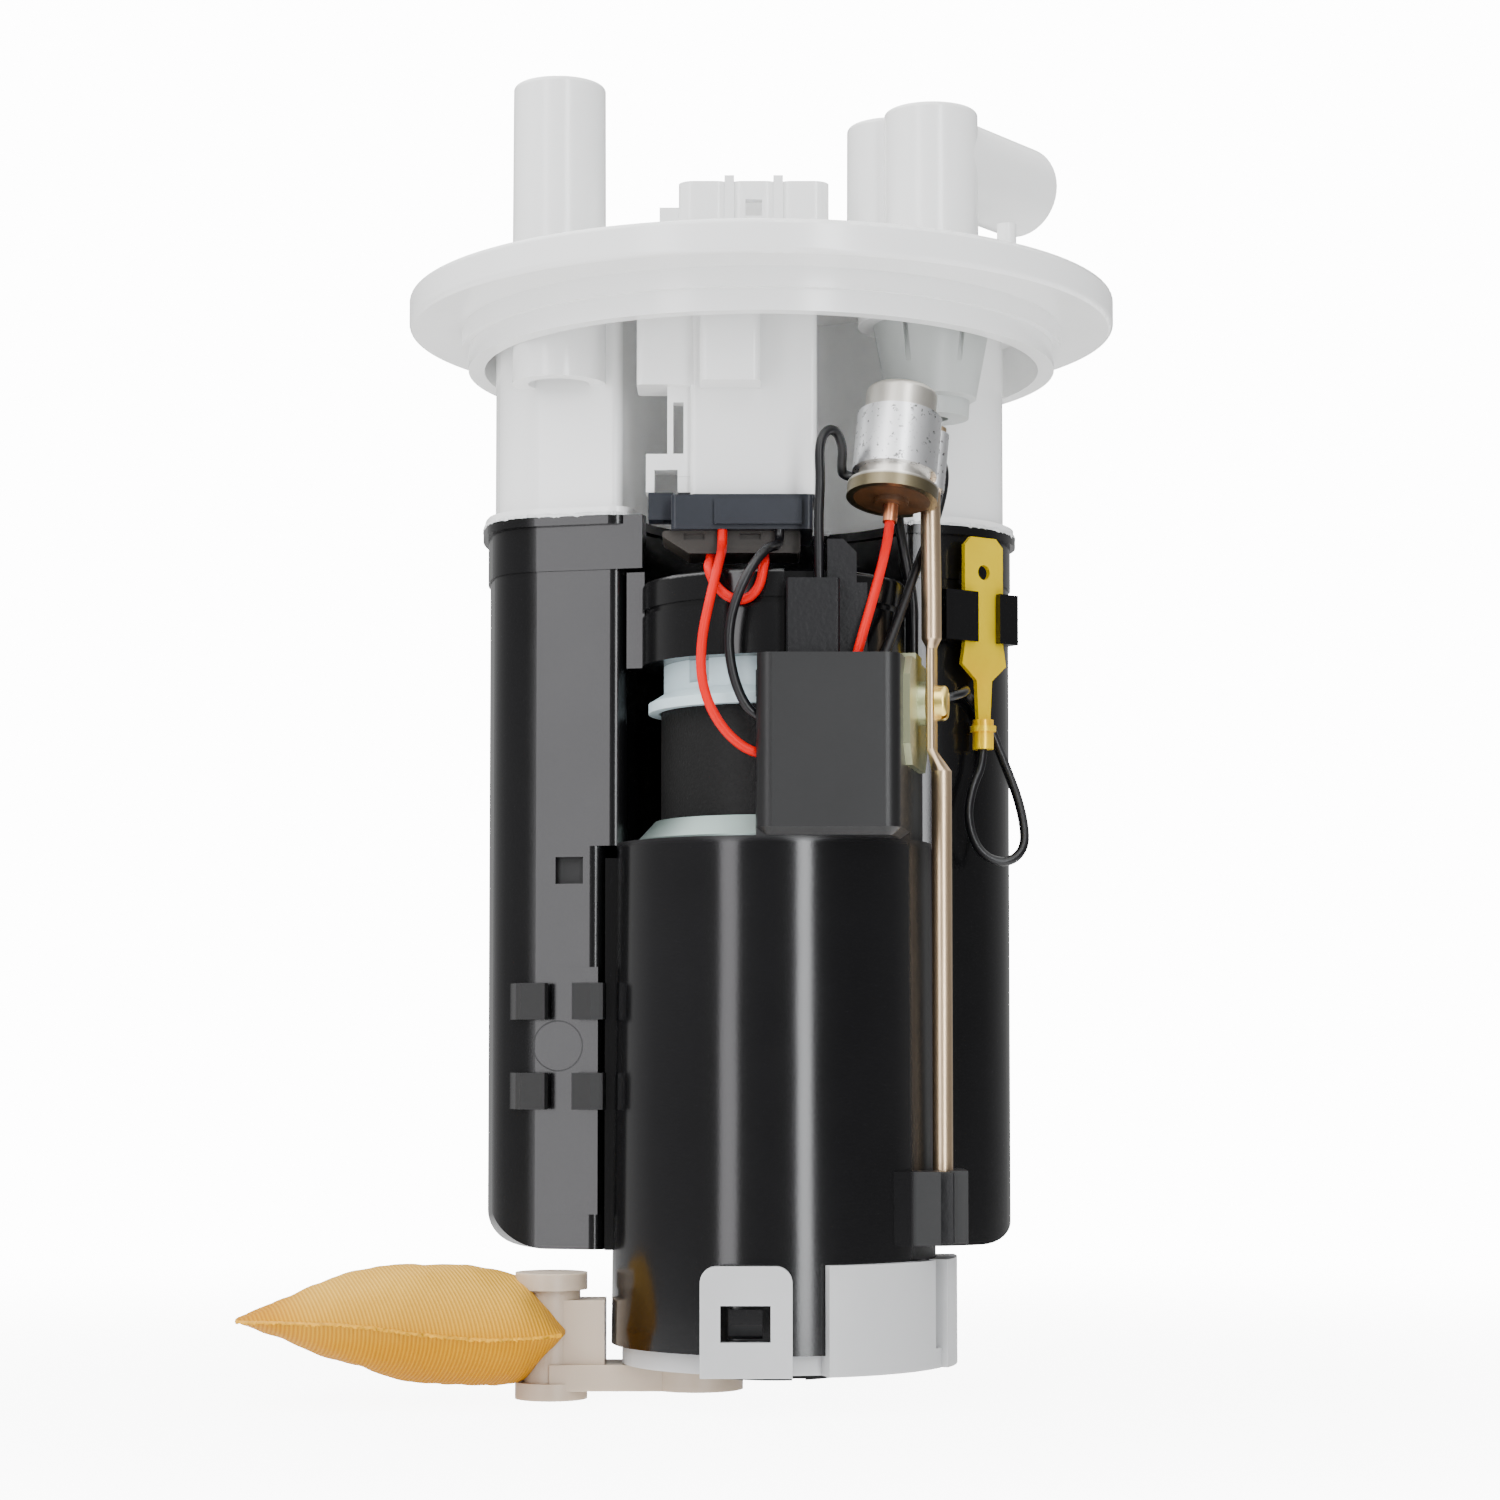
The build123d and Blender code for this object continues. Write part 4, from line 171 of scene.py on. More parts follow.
def finish_material(
    name,
    colour,
    rough=0.45,
    metal=0.0,
    tone=0.06,
    tone_scale=45,
    stretch=(1, 1, 1),
    rough_vary=0.06,
    grain=0.25,
    grain_scale=2600,
    grain_depth=0.00003,
    wave=0.0,
    wave_scale=60,
    specular=0.5,
    translucent=0.0,
    edge_highlight=0.0,
    dark_specks=0.0,
    matte_above=None,
    matte_right=None,
    moulded_face=None,
    rim=None,
):
    """A procedural finish: cloudy tone, uneven gloss, a fine grain, a slow waviness and a painted highlight
    on sharp edges.

    It can be matte above a height, right of a place or on a face's marks, and have a tarnished rim.
    """
    material, output, add, tree = new_tree(name)
    place = add("TexCoord").outputs["Object"]
    mapped = add("Mapping", {"Vector": place, "Scale": stretch}).outputs["Vector"]
    cloud = add("TexNoise", {"Vector": mapped, "Scale": tone_scale, "Detail": 4, "Roughness": 0.6})
    speck = add("TexNoise", {"Vector": mapped, "Scale": grain_scale, "Detail": 2, "Roughness": 0.5})
    ramp = add("ValToRGB", {"Fac": cloud.outputs["Fac"]})
    ramp.color_ramp.elements[0].position = 0.3
    ramp.color_ramp.elements[0].color = shade(colour, 1 - tone)
    ramp.color_ramp.elements[1].position = 0.7
    ramp.color_ramp.elements[1].color = shade(colour, 1 + tone)
    base = ramp.outputs["Color"]
    # Painted highlight: sharp convex edges, found by pointiness, are made lighter
    if edge_highlight:
        point = add("NewGeometry").outputs["Pointiness"]
        base = blend(add, ramp_up(add, point, 0.51, 0.6, edge_highlight), base, shade(colour, 1.6))
    if dark_specks:
        specks = add("TexNoise", {"Vector": place, "Scale": 900, "Detail": 3, "Roughness": 0.7})
        few = ramp_up(add, specks.outputs["Fac"], 0.58, 0.67, dark_specks)
        base = blend(add, few, base, SPECK_COLOUR)
    rough_high = min(1, rough + rough_vary)
    rough_low = max(0.02, rough - rough_vary)
    gloss = ramp_up(add, cloud.outputs["Fac"], 0, 1, rough_high, rough_low)
    for axis, matte_beyond in (("Z", matte_above), ("X", matte_right)):
        if matte_beyond:
            level, extra = matte_beyond
            along = add("SeparateXYZ", {"Vector": place}).outputs[axis]
            rougher = ramp_up(add, along, level - MATTE_EDGE, level, extra)
            gloss = add("Math", {0: gloss, 1: rougher}, operation="ADD").outputs["Value"]
    if moulded_face:
        matte = face_marks(add, place, **moulded_face)
        gloss = add("Math", {0: matte, 1: MARKS_ROUGHER, 2: gloss}, operation="MULTIPLY_ADD").outputs["Value"]
    if rim:
        along = add("VectorMath", {0: place, 1: rim["way"]}, operation="DOT_PRODUCT").outputs["Value"]
        below = ramp_up(add, along, rim["level"], rim["level"] - RIM_EDGE)
        base = blend(add, below, base, (*rim["colour"], 1))
    shader = add(
        "BsdfPrincipled",
        {
            "Base Color": base,
            "Roughness": gloss,
            "Metallic": metal,
            "Specular IOR Level": specular,
        },
    )
    if translucent:
        shader.inputs["Subsurface Weight"].default_value = translucent
        shader.inputs["Subsurface Radius"].default_value = LIGHT_INSIDE
        shader.inputs["Subsurface Scale"].default_value = LIGHT_DEPTH
    bump = add("Bump", {"Height": speck.outputs["Fac"], "Strength": grain, "Distance": grain_depth})
    if wave:
        slow = add("TexNoise", {"Vector": mapped, "Scale": wave_scale, "Detail": 1})
        under = add("Bump", {"Height": slow.outputs["Fac"], "Strength": wave, "Distance": 0.001})
        tree.links.new(under.outputs["Normal"], bump.inputs["Normal"])
    tree.links.new(bump.outputs["Normal"], shader.inputs["Normal"])
    tree.links.new(shader.outputs["BSDF"], output.inputs["Surface"])
    return material


# Stretches that draw a finish's cloud into lines along a rod or round it
LINES_UP = (1, 1, 0.03)
LINES_ROUND = (0.03, 0.03, 1)
# The condenser's foot and axis, and the top of its rolled rim along it; the rim is tarnished
CAN_FOOT = Vector((19.8, -36.5, -33.2))
CAN_RIM_HEIGHT = 2.1
CAN_WAY = Vector((tan(radians(6)), tan(radians(12)), 1)).normalized()
CAN_RIM = dict(
    way=tuple(CAN_WAY),
    level=CAN_WAY.dot(CAN_FOOT + CAN_WAY * CAN_RIM_HEIGHT) * MM,
    colour=(0.20, 0.17, 0.105),
)
# The canister's flat wing: a point of its face, the way it looks, and the marks on it (metres)
WING_LEAN = radians(14)
WING_MARKS = dict(
    point=(-0.027, -0.0202, 0),
    out=(-sin(WING_LEAN), -cos(WING_LEAN), 0),
    rails_below=-0.095,
    recess=(-0.0302, -0.0888, 0.0045, 0.005),
    disc=(-0.0319, -0.1163, 0.0039),
)
# The pump holder is glossy, but matte above the foot of its box and towards its right edge, in metres
BOX_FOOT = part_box("pump_holder")[1][2] - 27.2 * MM
HOLDER_RIGHT = 0.0232
finishes = {
    "white_plastic": dict(colour=(0.84, 0.845, 0.84), rough=0.2, tone=0.012, translucent=0.12, wave=0.06,
                          rough_vary=0.04, grain=0.12, specular=0.75),
    "black_plastic": dict(colour=(0.0024, 0.0024, 0.0028), rough=0.2, tone=0.2, wave=0.07, wave_scale=60,
                          grain=0.10, rough_vary=0.03, moulded_face=WING_MARKS),
    "black_box_plastic": dict(colour=(0.003, 0.003, 0.0035), rough=0.155, tone=0.2, wave=0.06, wave_scale=60,
                              grain=0.12, rough_vary=0.03, matte_above=(BOX_FOOT, 0.26),
                              matte_right=(HOLDER_RIGHT, 0.28)),
    "pebbled_plastic": dict(colour=(0.0035, 0.0035, 0.0045), rough=0.46, specular=0.28, tone=0.15, grain=0.8,
                            grain_scale=1300, grain_depth=0.00008),
    "black_textured": dict(colour=(0.006, 0.006, 0.006), rough=0.5, tone=0.15, specular=0.2, grain=0.8,
                           grain_scale=1800, grain_depth=0.00012),
    "black_rubber": dict(colour=(0.006, 0.006, 0.006), rough=0.6, tone=0.2, specular=0.3, grain=0.4),
    "green_rubber": dict(colour=(0.02, 0.05, 0.035), rough=0.5, tone=0.15, grain=0.3),
    "filter_paper": dict(colour=(0.72, 0.66, 0.5), rough=0.85, tone=0.08, tone_scale=120, grain=0.8,
                         grain_scale=1400, grain_depth=0.0001),
    "end_cap_plastic": dict(colour=(0.7, 0.7, 0.66), rough=0.5, tone=0.03),
    # The zinc plate's dark specks are its own; its lighter edges are a painted highlight
    "zinc_plate": dict(colour=(0.80, 0.81, 0.83), rough=0.36, metal=1.0, tone=0.10, tone_scale=120,
                       stretch=LINES_UP, grain=0.5, grain_scale=1100, edge_highlight=0.3, dark_specks=0.8),
    "casing_zinc": dict(colour=(0.31, 0.385, 0.365), rough=0.42, metal=1.0, tone=0.05, tone_scale=120,
                        grain=0.2, grain_scale=1100),
    "die_cast": dict(colour=(0.55, 0.56, 0.57), rough=0.45, metal=1.0, tone=0.08, grain=0.6,
                     grain_scale=1500),
    "bronze": dict(colour=(0.5, 0.33, 0.16), rough=0.45, metal=1.0, tone=0.1, grain=0.5),
    "phenolic_brown": dict(colour=(0.11, 0.06, 0.035), rough=0.45, tone=0.12, grain=0.4),
    "steel": dict(colour=(0.6, 0.6, 0.61), rough=0.2, metal=1.0, tone=0.05, stretch=LINES_ROUND,
                  grain=0.3),
    "core_steel": dict(colour=(0.25, 0.25, 0.26), rough=0.45, metal=1.0, tone=0.15, stretch=LINES_ROUND,
                       grain=0.6, grain_scale=1600),
    "copper": dict(colour=(0.75, 0.30, 0.15), rough=0.3, metal=1.0, tone=0.15, tone_scale=200, grain=0.3),
    "ferrite": dict(colour=(0.07, 0.07, 0.07), rough=0.6, tone=0.15, grain=0.6, grain_scale=1500),
    "carbon": dict(colour=(0.04, 0.04, 0.04), rough=0.6, metal=0.2, tone=0.1, grain=0.4),
    "spring_steel": dict(colour=(0.5, 0.5, 0.51), rough=0.3, metal=1.0, tone=0.08, grain=0.2),
    "brass_turned": dict(colour=(0.85, 0.56, 0.16), rough=0.28, metal=1.0, tone=0.08, stretch=LINES_ROUND,
                         grain=0.4, grain_scale=1500),
    # The sheet brass carries a painted highlight on its edges
    "brass_sheet": dict(colour=(1.0, 0.55, 0.0), rough=0.3, metal=0.45, tone=0.12, tone_scale=120,
                        grain=0.25, wave=0.5, wave_scale=170, edge_highlight=0.4),
    "blue_white_plastic": dict(colour=(0.50, 0.62, 0.66), rough=0.35, tone=0.03, translucent=0.2, grain=0.15),
    "retainer_plastic": dict(colour=(0.45, 0.455, 0.46), rough=0.38, tone=0.04, translucent=0.25, wave=0.06,
                             grain=0.2),
    "cream_plastic": dict(colour=(0.50, 0.41, 0.32), rough=0.38, tone=0.06, translucent=0.5, wave=0.10,
                          grain=0.2),
    "mesh_fabric": dict(colour=(0.6, 0.36, 0.1), rough=0.6, tone=0.1, translucent=0.3),
    "plug_black": dict(colour=(0.011, 0.0135, 0.020), rough=0.34, tone=0.12, grain=0.3, wave=0.05),
    "plug_brown": dict(colour=(0.030, 0.026, 0.022), rough=0.35, tone=0.10, grain=0.3, wave=0.08),
    "tin_plate": dict(colour=(0.74, 0.74, 0.72), rough=0.3, metal=1.0, tone=0.08, grain=0.3),
    "cap_plastic": dict(colour=(0.42, 0.44, 0.43), rough=0.4, tone=0.03, translucent=0.25, grain=0.25),
    "regulator_plastic": dict(colour=(0.22, 0.22, 0.21), rough=0.4, tone=0.06, grain=0.3),
    "nickel_can": dict(colour=(0.70, 0.67, 0.61), rough=0.36, metal=1.0, tone=0.12, tone_scale=140,
                       stretch=LINES_UP, grain=0.4, grain_scale=1000, rim=CAN_RIM),
    "winding_film": dict(colour=(0.4, 0.4, 0.36), rough=0.4, tone=0.1, stretch=LINES_ROUND, grain=0.3),
    "phenolic_orange": dict(colour=(0.048, 0.018, 0.004), rough=0.5, tone=0.45, tone_scale=260, grain=0.6,
                            grain_scale=1200),
    # The yellow zinc carries a painted highlight on its edges
    "yellow_zinc": dict(colour=(0.44, 0.46, 0.29), rough=0.36, metal=1.0, tone=0.14, tone_scale=150,
                        stretch=LINES_UP, grain=0.4, grain_scale=900, edge_highlight=0.3),
    "champagne_zinc": dict(colour=(0.70, 0.52, 0.34), rough=0.32, metal=1.0, tone=0.16, tone_scale=200,
                           stretch=(1, 1, 0.06), grain=0.6, grain_scale=800),
    "yellow_chromate": dict(colour=(0.90, 0.66, 0.20), rough=0.3, metal=1.0, tone=0.18, tone_scale=260,
                            grain=0.3),
    "wire_red": dict(colour=(0.62, 0.0, 0.0), rough=0.32, tone=0.05, tone_scale=160, grain=0.2,
                     grain_scale=1500, specular=0.14),
    "weld_flash": dict(colour=(0.70, 0.71, 0.71), rough=0.45, tone=0.12, tone_scale=600, grain=0.8,
                       grain_scale=900, grain_depth=0.0001),
    "mesh_hem": dict(colour=(0.56, 0.27, 0.004), rough=0.5, tone=0.35, tone_scale=900, specular=0.12,
                     grain=0.8, grain_scale=1800, grain_depth=0.00008),
    "wire_black": dict(colour=(0.0035, 0.0035, 0.0045), rough=0.33, tone=0.15, grain=0.35, grain_scale=1500,
                       specular=0.4),
}
materials = {name: finish_material(name, **values) for name, values in finishes.items()}


# The bag's cloth: fine ribs of mesh, amber below and towards the tip and paler above
SEAM_HEIGHT = -161.0
RIB_PITCH = 0.62
RIB_BOW = 28.0
# The wave texture takes the sine of this many times the scaled place
WAVES = 20
THREAD_SCALE = 900
# Between these heights the amber turns paler, and less so towards the tip, in metres
AMBER_TO = -0.168
PALE_FROM = -0.153
TIP_FROM = -0.078
TIP_TO = -0.068
TIP_SHARE = 0.4


def mesh_cloth():
    """The mesh of the strainer's bag, with its ribs, threads and clouds."""
    material, output, add, tree = new_tree("mesh_cloth")
    place = add("TexCoord").outputs["Object"]
    split = add("SeparateXYZ", {"Vector": place}).outputs
    # The ribs bow away from the seam
    rise = add("Math", {0: split["Z"], 1: -SEAM_HEIGHT * MM}, operation="ADD").outputs["Value"]
    squared = add("Math", {0: rise, 1: rise}, operation="MULTIPLY").outputs["Value"]
    bowed = add("Math", {0: squared, 1: RIB_BOW, 2: split["X"]}, operation="MULTIPLY_ADD").outputs["Value"]
    slanted = add("Math", {0: split["Y"], 1: 0.25, 2: bowed}, operation="MULTIPLY_ADD").outputs["Value"]
    along = add("CombineXYZ", {"X": slanted, "Y": split["Y"], "Z": split["Z"]}).outputs["Vector"]
    rib_scale = 2 * pi / (WAVES * RIB_PITCH * MM)
    ribs = add(
        "TexWave",
        {"Vector": along, "Scale": rib_scale, "Distortion": 1.1, "Detail": 1, "Detail Scale": 0.12},
        wave_type="BANDS",
        bands_direction="X",
    )
    threads = add("TexWave", {"Vector": place, "Scale": THREAD_SCALE}, wave_type="BANDS", bands_direction="Z")
    cloud = add("TexNoise", {"Vector": place, "Scale": 90, "Detail": 3})
    upward = ramp_up(add, split["Z"], AMBER_TO, PALE_FROM)
    inward = ramp_up(add, split["X"], TIP_FROM, TIP_TO, low=TIP_SHARE)
    paler = add("Math", {0: upward, 1: inward}, operation="MULTIPLY")
    fade = add("ValToRGB", {"Fac": paler.outputs["Value"]})
    stops = fade.color_ramp.elements
    stops[0].position = 0.0
    stops[0].color = (0.56, 0.255, 0.0, 1)
    stops[1].position = 1.0
    stops[1].color = (0.72, 0.43, 0.06, 1)
    middle = stops.new(0.42)
    middle.color = (0.60, 0.28, 0.0, 1)
    rib_tone = add("ValToRGB", {"Fac": ribs.outputs["Fac"]})
    rib_tone.color_ramp.elements[0].color = (0.72, 0.62, 0.45, 1)
    rib_tone.color_ramp.elements[1].color = (1, 1, 1, 1)
    cloud_tone = add("ValToRGB", {"Fac": cloud.outputs["Fac"]})
    cloud_tone.color_ramp.elements[0].color = (0.80, 0.74, 0.60, 1)
    base = fade.outputs["Color"]
    for tone in (rib_tone, cloud_tone):
        base = blend(add, 0.9, base, tone.outputs["Color"], "MULTIPLY")
    shader = add("BsdfPrincipled", {"Base Color": base, "Roughness": 0.5, "Specular IOR Level": 0.03})
    fine = add("Bump", {"Height": threads.outputs["Fac"], "Strength": 0.25, "Distance": 0.00004})
    ridges = {"Height": ribs.outputs["Fac"], "Strength": 0.7, "Distance": 0.00012}
    bump = add("Bump", {**ridges, "Normal": fine.outputs["Normal"]})
    tree.links.new(bump.outputs["Normal"], shader.inputs["Normal"])
    tree.links.new(shader.outputs["BSDF"], output.inputs["Surface"])
    return material


materials["mesh_cloth"] = mesh_cloth()

# Two nodes look unlike the others of their material
own_finish = {"terminal_block": "pebbled_plastic", "pump_casing": "casing_zinc"}
slots = {part["node"]: part["material_slot"] for part in frame["record"]["subparts"]}
for node_name, node in nodes.items():
    node.data.materials.clear()
    node.data.materials.append(None)
    node.material_slots[0].link = "OBJECT"
    node.material_slots[0].material = materials[own_finish.get(node_name, slots[node_name])]


# Leads
WIRE_RADIUS = 0.75
# Each lead is a line of control points on the module's side, in mm
routes = {
    "pump_red": [
        (-6.05, -35.20, -37.50), (-6.05, -35.20, -39.10), (-6.10, -36.80, -40.90), (-6.30, -40.20, -42.30),
        (-6.80, -43.70, -44.90), (-7.90, -45.40, -49.80), (-9.10, -45.90, -55.60), (-9.20, -45.90, -61.50),
        (-7.60, -45.70, -66.50), (-4.60, -45.10, -70.60), (-0.60, -44.40, -73.00), (3.60, -44.40, -73.00),
    ],
    "pump_black": [
        (2.70, -35.20, -37.50), (2.70, -35.20, -38.80), (2.40, -36.80, -40.10), (1.60, -40.40, -40.90),
        (0.40, -44.20, -41.90), (-1.90, -45.90, -45.20), (-4.20, -46.00, -50.20), (-5.10, -45.90, -55.00),
        (-4.70, -45.60, -59.60), (-3.60, -45.20, -63.40), (-1.90, -44.70, -66.40), (0.80, -44.40, -67.80),
        (3.60, -44.40, -67.80),
    ],
    "bridge_red": [
        (-7.90, -33.00, -41.00), (-7.90, -33.00, -42.10), (-7.90, -35.60, -43.10), (-8.00, -39.40, -43.00),
        (-8.20, -42.00, -44.40), (-7.10, -42.50, -47.20), (-4.60, -43.30, -49.40), (-2.00, -43.80, -49.40),
        (-0.30, -44.30, -47.40), (0.20, -44.20, -44.40), (0.40, -41.40, -42.90), (0.40, -36.00, -43.00),
        (0.40, -33.00, -42.10), (0.40, -33.00, -41.00),
    ],
    "condenser_red": [
        (19.43, -37.24, -36.70), (19.17, -37.78, -39.23), (18.10, -41.20, -43.80), (16.60, -44.00, -49.40),
        (14.90, -45.20, -55.20), (13.60, -44.80, -60.00), (13.60, -44.80, -64.00),
    ],
    "condenser_black": [
        (8.60, -42.60, -46.40), (8.60, -42.60, -42.00), (8.50, -42.60, -36.60), (8.80, -42.50, -31.00),
        (8.60, -42.40, -27.20), (8.90, -42.10, -24.60), (10.10, -41.20, -23.00), (11.50, -39.90, -23.40),
        (12.30, -38.50, -25.60), (12.10, -37.20, -28.00), (12.34, -35.86, -29.37), (14.63, -35.86, -29.61),
    ],
    "ground_loop": [
        (23.33, -30.81, -56.50), (23.33, -30.81, -53.40), (23.50, -29.20, -47.80), (22.30, -28.00, -41.00),
        (21.20, -27.00, -34.60), (21.30, -26.20, -29.40), (22.30, -25.60, -25.60), (24.40, -25.30, -23.40),
        (27.00, -25.40, -23.60), (28.60, -25.80, -26.20), (28.20, -26.40, -30.60), (26.60, -27.40, -36.00),
        (24.20, -29.40, -41.80), (22.20, -32.40, -47.20), (20.40, -35.80, -52.40), (18.90, -38.60, -56.20),
        (17.60, -41.20, -59.20), (16.40, -43.20, -61.60), (16.40, -43.20, -64.00),
    ],
    "terminal_black": [
        (35.41, -11.06, -66.60), (35.41, -11.06, -71.20), (33.61, -12.06, -75.00), (32.71, -12.96, -79.60),
        (33.61, -13.56, -83.90), (35.51, -13.76, -86.40), (38.21, -13.56, -87.30), (40.51, -13.06, -86.50),
        (41.91, -12.36, -84.40), (41.91, -11.26, -81.20), (41.11, -9.96, -77.00), (39.71, -8.76, -72.80),
        (38.11, -8.06, -68.60), (36.81, -8.06, -65.00), (34.91, -9.16, -62.20), (32.81, -11.06, -60.30),
        (32.41, -14.66, -59.80), (32.16, -17.84, -60.40), (30.96, -20.24, -61.20), (28.72, -20.99, -61.80),
        (26.16, -20.54, -61.80),
    ],
}


def lead(name, points):
    """A wire as one smooth spline with a round section, standing for its tube."""
    curve = bpy.data.curves.new("lead_" + name, "CURVE")
    curve.dimensions = "3D"
    curve.bevel_depth = WIRE_RADIUS * MM
    curve.bevel_resolution = 5
    curve.use_fill_caps = True
    spline = curve.splines.new("NURBS")
    spline.points.add(len(points) - 1)
    for spot, point in zip(spline.points, points):
        spot.co = (*(Vector(point) * MM), 1)
    spline.order_u = 3
    spline.use_endpoint_u = True
    spline.resolution_u = 10
    wire = bpy.data.objects.new("lead_" + name, curve)
    scene.collection.objects.link(wire)
    slot = "wire_red" if "red" in name else "wire_black"
    curve.materials.append(materials[slot])
    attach(wire, "housing")
    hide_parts("wire_" + name)


for lead_name, route in routes.items():
    lead(lead_name, route)


# Meshes
def skin(bm, rings):
    """Joins rings of vertices into one closed skin, with an end face on the first and the last."""
    sides = len(rings[0])
    for ring, following in zip(rings, rings[1:]):
        for j in range(sides):
            k = (j + 1) % sides
            bm.faces.new((ring[j], ring[k], following[k], following[j]))
    bm.faces.new(rings[0])
    bm.faces.new(list(reversed(rings[-1])))


def mesh_object(name, build, material):
    """A smooth mesh object made by build(bm), riding on the housing."""
    mesh = bpy.data.meshes.new(name)
    bm = bmesh.new()
    build(bm)
    bmesh.ops.recalc_face_normals(bm, faces=bm.faces[:])
    bm.to_mesh(mesh)
    bm.free()
    mesh.shade_smooth()
    piece = bpy.data.objects.new(name, mesh)
    scene.collection.objects.link(piece)
    mesh.materials.append(materials[material])
    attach(piece, "housing")
    return piece


# Mesh bag
def between(table, x):
    """A smooth value from a table of (x, value) pairs: a curve with an even slope through every pair."""
    last = len(table) - 1
    x = max(table[0][0], min(table[last][0], x))
    i = next(i for i in range(last) if x <= table[i + 1][0])

    def slope(k):
        (x0, v0), (x1, v1) = table[max(0, k - 1)], table[min(last, k + 1)]
        return (v1 - v0) / (x1 - x0)

    (x0, v0), (x1, v1) = table[i], table[i + 1]
    step = x1 - x0
    t = (x - x0) / step
    return (
        v0 * (2 * t**3 - 3 * t**2 + 1)
        + slope(i) * step * (t**3 - 2 * t**2 + t)
        + v1 * (3 * t**2 - 2 * t**3)
        + slope(i + 1) * step * (t**3 - t**2)
    )


# Tables along X in mm: seam height, top and bottom of the bag, and half its width
SEAM = [(-81.1, -158.4), (-75.5, -158.0), (-63.8, -158.0), (-59.9, -158.3), (-50.8, -159.5), (-41.4, -160.2),
        (-33.0, -160.0), (-30.2, -159.8)]
TOP = [(-81.1, -158.1), (-75.5, -155.9), (-67.0, -152.4), (-60.6, -150.7), (-54.0, -150.0), (-47.0, -150.4),
       (-40.0, -151.8), (-36.5, -152.9), (-34.0, -155.4), (-30.2, -159.5)]
BOTTOM = [(-81.1, -158.7), (-77.9, -160.0), (-71.9, -162.3), (-65.6, -164.8), (-57.2, -167.3),
          (-50.0, -168.4), (-42.5, -168.6), (-36.6, -167.6), (-34.6, -165.4), (-30.2, -160.1)]
WIDE = [(-81.1, 3.0), (-79.5, 8.2), (-74.0, 12.6), (-66.0, 15.2), (-55.0, 15.9), (-42.0, 15.9), (-37.0, 15.6),
        (-33.0, 14.6), (-30.2, 12.6)]
# The bag's middle along Y, and how many steps its skin and its hem have
BAG_MIDDLE = -22.0
BAG_LONG = 170
BAG_ROUND = 96
HEM_LONG = 230


def bag_point(x, turn):
    """A point of the bag's skin: a pillow that comes to an edge at its seam; turn 0 is the back edge."""
    seam, top, bottom, wide = (between(table, x) for table in (SEAM, TOP, BOTTOM, WIDE))
    across = cos(turn)
    full = (1 - abs(across) ** 2.4) ** 0.8
    lift = (top - seam) if sin(turn) > 0 else (bottom - seam)
    y = BAG_MIDDLE + wide * across
    z = seam + lift * full
    sag = 0.55 * noise(Vector((x, y, z)) * 0.12) + 0.25 * noise(Vector((x, y, z)) * 0.35)
    return Vector((x, y, z + sag * full))


def build_bag(bm):
    """The skin of the bag, from its tip to the hub."""
    rings = []
    first, last = SEAM[0][0], SEAM[-1][0]
    for i in range(BAG_LONG + 1):
        x = first + (last - first) * i / BAG_LONG
        rings.append([bm.verts.new(bag_point(x, 2 * pi * j / BAG_ROUND) * MM) for j in range(BAG_ROUND)])
    skin(bm, rings)


def build_hem(bm):
    """The pressed edge where both halves of the bag are welded: a thin fringed band along its front."""
    chance = Random(7)
    first, last = SEAM[0][0], SEAM[-1][0]
    # Its steps are a little closer at the tip
    spots = [first + (last - first) * (i / HEM_LONG) ** 1.05 for i in range(HEM_LONG + 1)]
    thick = Vector((0, 0, 0.11))
    rings = []
    for x in spots:
        seam, wide = between(SEAM, x), between(WIDE, x)
        inner = Vector((x, BAG_MIDDLE - wide + 0.5, seam))
        reach = 0.85 + 0.45 * chance.random()
        droop = 0.15 + 0.35 * chance.random()
        outer = Vector((x + 0.3 * (chance.random() - 0.5), BAG_MIDDLE - wide - reach + 0.2, seam - droop))
        middle = (inner + outer) / 2 + Vector((0, 0, 0.12))
        upper = [inner + thick, middle + thick, outer + thick * 0.5]
        lower = [outer - thick * 0.5, middle - thick, inner - thick]
        rings.append([bm.verts.new(point * MM) for point in upper + lower])
    skin(bm, rings)


bag = mesh_object("bag", build_bag, "mesh_cloth")
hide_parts("strainer_sock")
mesh_object("bag_hem", build_hem, "mesh_hem")


# Small moulded and welded details
CANISTER_MIDDLE = 4
BEAD_RADIUS = 0.42
BEAD_RAGGED = 0.24
BEAD_STEP = 0.35
BEAD_SIDES = 6


def build_weld(bm):
    """A ragged bead of white plastic along the outer foot of the white shell, where the case is welded on."""
    shell = nodes["flange"].data
    points = [vertex.co / MM for vertex in shell.vertices]
    foot = min(p.z for p in points)
    sides = {}
    for face in shell.polygons:
        for key in face.edge_keys:
            if all(abs(points[v].z - foot) < 0.02 for v in key):
                sides.setdefault(key, []).append(face.normal.copy())
    for (start, end), normals in sides.items():
        walls = [n for n in normals if abs(n.z) < 0.3]
        a, b = points[start], points[end]
        middle = (a + b) / 2
        if not walls or walls[0].x * middle.x + walls[0].y * (middle.y - CANISTER_MIDDLE) < 0:
            continue
        out = walls[0]
        steps = max(1, round((b - a).length / BEAD_STEP))
        rings = []
        for i in range(steps + 1):
            spot = a + (b - a) * i / steps
            ragged = noise(spot * 1.3) + 0.6 * noise(spot * 3.1)
            radius = BEAD_RADIUS + BEAD_RAGGED * ragged
            centre = spot + Vector((0, 0, 0.12 + 0.25 * noise(spot * 0.9)))
            ring = []
            for j in range(BEAD_SIDES):
                turn = 2 * pi * j / BEAD_SIDES
                point = centre + out * radius * cos(turn) * 0.8 + Vector((0, 0, radius * sin(turn)))
                ring.append(bm.verts.new(point * MM))
            rings.append(ring)
        skin(bm, rings)


mesh_object("weld_bead", build_weld, "weld_flash")


